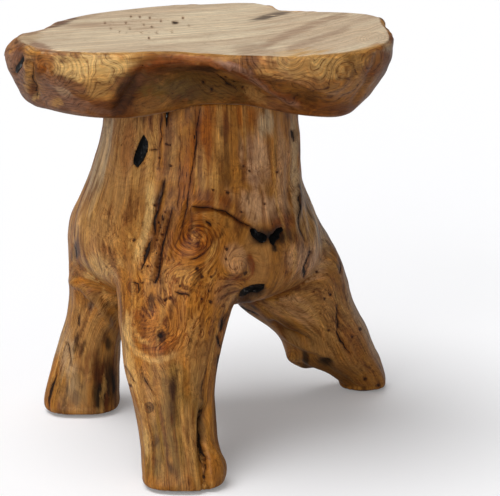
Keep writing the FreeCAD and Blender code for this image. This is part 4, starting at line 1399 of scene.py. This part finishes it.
def face_outwards(points, faces):
    """Turn faces round where a closed shape would have a volume below zero."""
    corners = points[faces]
    volume = np.sum(np.cross(corners[:, 1] - corners[:, 0], corners[:, 2] - corners[:, 0]) * corners[:, 0])
    return faces if volume > 0 else faces[:, [1, 0, 3, 2]]


def outline_distance(pixels, outline):
    """Give each pixel's distance from a closed outline, below zero inside: there, a line to the right
    crosses the outline an odd number of times."""
    path = np.asarray(outline, float)
    _, away, _ = stroke_offset(pixels, np.concatenate([path, path[:1]]))
    crossing = np.zeros(len(pixels), int)
    for (ax, ay), (bx, by) in zip(path, np.roll(path, -1, axis=0)):
        spans = (ay > pixels[:, 1]) != (by > pixels[:, 1])
        meet = ax + (pixels[:, 1] - ay) * (bx - ax) / (by - ay + 1e-9)
        crossing += spans & (pixels[:, 0] < meet)
    return np.where(crossing % 2 == 1, -away, away)


def sink_hollows(marks, piece_name):
    """Press the wood in where a fill sits, and darken it."""
    for home, outline in FILLS.values():
        if home == piece_name:
            hollow = marks.sight * ease(*HOLLOW_EDGE, outline_distance(marks.pixels, outline))
            marks.push -= HOLLOW_DEPTH * hollow
            marks.cover("umber", hollow * HOLLOW_STAIN)


# Felt discs under the feet


PAD_TURNS = 64
PAD_FACE_RINGS = 6
PAD_EDGE_RINGS = 13
PAD_ROUND = 0.8
PAD_FIT = 0.985


def pad_shape(low, high):
    """Work out a felt disc in its node's box: flat faces and a rounded edge that waves a little, as rings
    from top to bottom."""
    centre = (low + high) / 2
    radius = (high[0] - low[0]) / 2
    angle = np.arange(PAD_TURNS) * 2 * math.pi / PAD_TURNS
    bulge = np.linspace(0, math.pi, PAD_EDGE_RINGS)
    reach = radius - PAD_ROUND + PAD_ROUND * np.sin(bulge)
    height = centre[2] + (high[2] - low[2]) / 2 * np.cos(bulge)
    inner = radius * np.linspace(0.15, 0.9, PAD_FACE_RINGS)
    reach = np.concatenate([inner, reach, inner[::-1]])
    height = np.concatenate([np.full(PAD_FACE_RINGS, high[2]), height, np.full(PAD_FACE_RINGS, low[2])])
    wave = 1 + 0.006 * np.sin(7 * angle) + 0.004 * np.sin(13 * angle + 1)
    reach = reach[:, None] * (PAD_FIT * wave)
    across = [centre[0] + reach * np.cos(angle), centre[1] + reach * np.sin(angle)]
    return np.stack([*across, np.broadcast_to(height[:, None], reach.shape)], axis=-1)


# Build the pieces


def add_piece(name, points, faces, finish, node):
    """Make a piece that stands for a node, rides on the stool's one body and takes the given finish; the
    node's own part is hidden.
    """
    piece = make_piece(name, points, faces, finish)
    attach(piece, "root")
    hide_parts(node)
    return piece


def pushed(marks):
    """Move each point along its normal by its push."""
    return marks.points + marks.push[:, None] * marks.normals


resin = black_resin()
peg_wood = turned_beech()
felt = brown_felt()

stump_points, stump_faces, stump_normals = stump_shape()
stump_marks = dress_stump(stump_points, stump_normals)
stump_open = pushed(stump_marks)
sink_hollows(stump_marks, "stump")
stump_wood = lacquered_wood("stump_wood")
stump = add_piece("stump", pushed(stump_marks), stump_faces, stump_wood, "root_stump")
stump_marks.store(stump)

seat_sheet = seat_shape()
seat_marks = dress_seat(seat_sheet.reshape(-1, 3), sheet_normals(seat_sheet))
seat_open = pushed(seat_marks)
sink_hollows(seat_marks, "seat")
seat_points, seat_faces = closed_rings(pushed(seat_marks).reshape(seat_sheet.shape))
seat_wood = lacquered_wood("seat_wood")
seat = add_piece("seat", seat_points, seat_faces, seat_wood, "seat_slab")
seat_marks.store(seat, poles=True)

surfaces = {"stump": (stump_marks, stump_open), "seat": (seat_marks, seat_open)}
for node, (home, outline) in FILLS.items():
    fill_points, fill_faces = closed_rings(fill_shape(outline, *surfaces[home]))
    fill_faces = face_outwards(fill_points, fill_faces)
    add_piece(node.replace("_fill", "_resin"), fill_points, fill_faces, resin, node)

for node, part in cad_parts.items():
    if node.startswith("foot_pad"):
        low, high = (np.array(corner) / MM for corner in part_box(node))
        pad_points, pad_faces = closed_rings(pad_shape(low, high))
        pad_faces = face_outwards(pad_points, pad_faces)
        add_piece(node.replace("foot_pad", "felt_disc"), pad_points, pad_faces, felt, node)
    if node.startswith(("centre_peg", "seat_dowel")):
        part.data.materials.clear()
        part.data.materials.append(peg_wood)


# The studio: a pale floor, soft light and the photo's camera


# The floor's half width in metres, its colour, and the light that it adds for the camera
FLOOR_REACH = 30.0
FLOOR_COLOUR = (0.82, 0.82, 0.835)
FLOOR_LIFT = (0.15, 0.15, 0.15)
FLOOR_BOUNCE = (0.5, 0.5, 0.5)
# The room's light, and its strength in reflections
ROOM_LIGHT = 0.24
ROOM_GLEAM = 0.12
# Soft suns: heading, spread in degrees and strength
SUNS = {
    "overhead": ((0.30, 0.13, -1.0), 44, 2.22),
    "front": ((0.45, 0.85, -0.20), 50, 1.75),
}
SENSOR_WIDE = 36.0


def studio_floor():
    """A pale floor that shows white to the camera where the light is full, and keeps the shadow."""
    finish = Finish("floor", Roughness=0.9, Specular_IOR_Level=0.0)
    seen = finish.node("ShaderNodeLightPath", {}, {}, "Is Camera Ray")
    finish.surface.inputs["Emission Strength"].default_value = 1.0
    finish.feed(
        Base_Color=finish.mix(FLOOR_BOUNCE, FLOOR_COLOUR, seen),
        Emission_Color=finish.mix((0, 0, 0), FLOOR_LIFT, seen),
    )
    mesh = bpy.data.meshes.new("floor")
    wide = FLOOR_REACH
    corners = [(-wide, -wide, 0), (wide, -wide, 0), (wide, wide, 0), (-wide, wide, 0)]
    mesh.from_pydata(corners, [], [(0, 1, 2, 3)])
    mesh.materials.append(finish.material)
    floor = bpy.data.objects.new("floor", mesh)
    bpy.context.scene.collection.objects.link(floor)


def studio_world():
    """A white room that lights softly, and shows white to the camera."""
    world = bpy.data.worlds.new("studio")
    world.use_nodes = True
    bpy.context.scene.world = world
    nodes, links = world.node_tree.nodes, world.node_tree.links
    path = nodes.new("ShaderNodeLightPath")
    mirrored = nodes.new("ShaderNodeMapRange")
    links.new(path.outputs["Is Glossy Ray"], mirrored.inputs["Value"])
    mirrored.inputs["To Min"].default_value = ROOM_LIGHT
    mirrored.inputs["To Max"].default_value = ROOM_GLEAM
    strength = nodes.new("ShaderNodeMapRange")
    links.new(path.outputs["Is Camera Ray"], strength.inputs["Value"])
    links.new(mirrored.outputs[0], strength.inputs["To Min"])
    links.new(strength.outputs[0], nodes["Background"].inputs["Strength"])
    nodes["Background"].inputs["Color"].default_value = (1.0, 1.0, 1.0, 1.0)


def soft_sun(name, heading, spread, strength):
    """A distant soft light that shines along a heading; the spread is its angle in degrees."""
    lamp = bpy.data.lights.new(name, "SUN")
    lamp.angle = math.radians(spread)
    lamp.energy = strength
    holder = bpy.data.objects.new(name, lamp)
    bpy.context.scene.collection.objects.link(holder)
    pan = math.atan2(-heading[0], heading[1])
    tilt = math.atan2(math.hypot(heading[0], heading[1]), -heading[2])
    holder.rotation_euler = (tilt, 0, pan)


studio_floor()
studio_world()
for name, sun in SUNS.items():
    soft_sun(name, *sun)

camera = bpy.data.cameras.new("photo_camera")
camera.sensor_width = SENSOR_WIDE
camera.lens = FOCAL_PIXELS / PHOTO_WIDE * camera.sensor_width
holder = bpy.data.objects.new("photo_camera", camera)
bpy.context.scene.collection.objects.link(holder)
holder.location = CAMERA_PLACE * MM
holder.rotation_euler = (math.pi / 2 - CAMERA_PITCH, 0, 0)
bpy.context.scene.camera = holder

bpy.context.scene.view_settings.view_transform = "Standard"
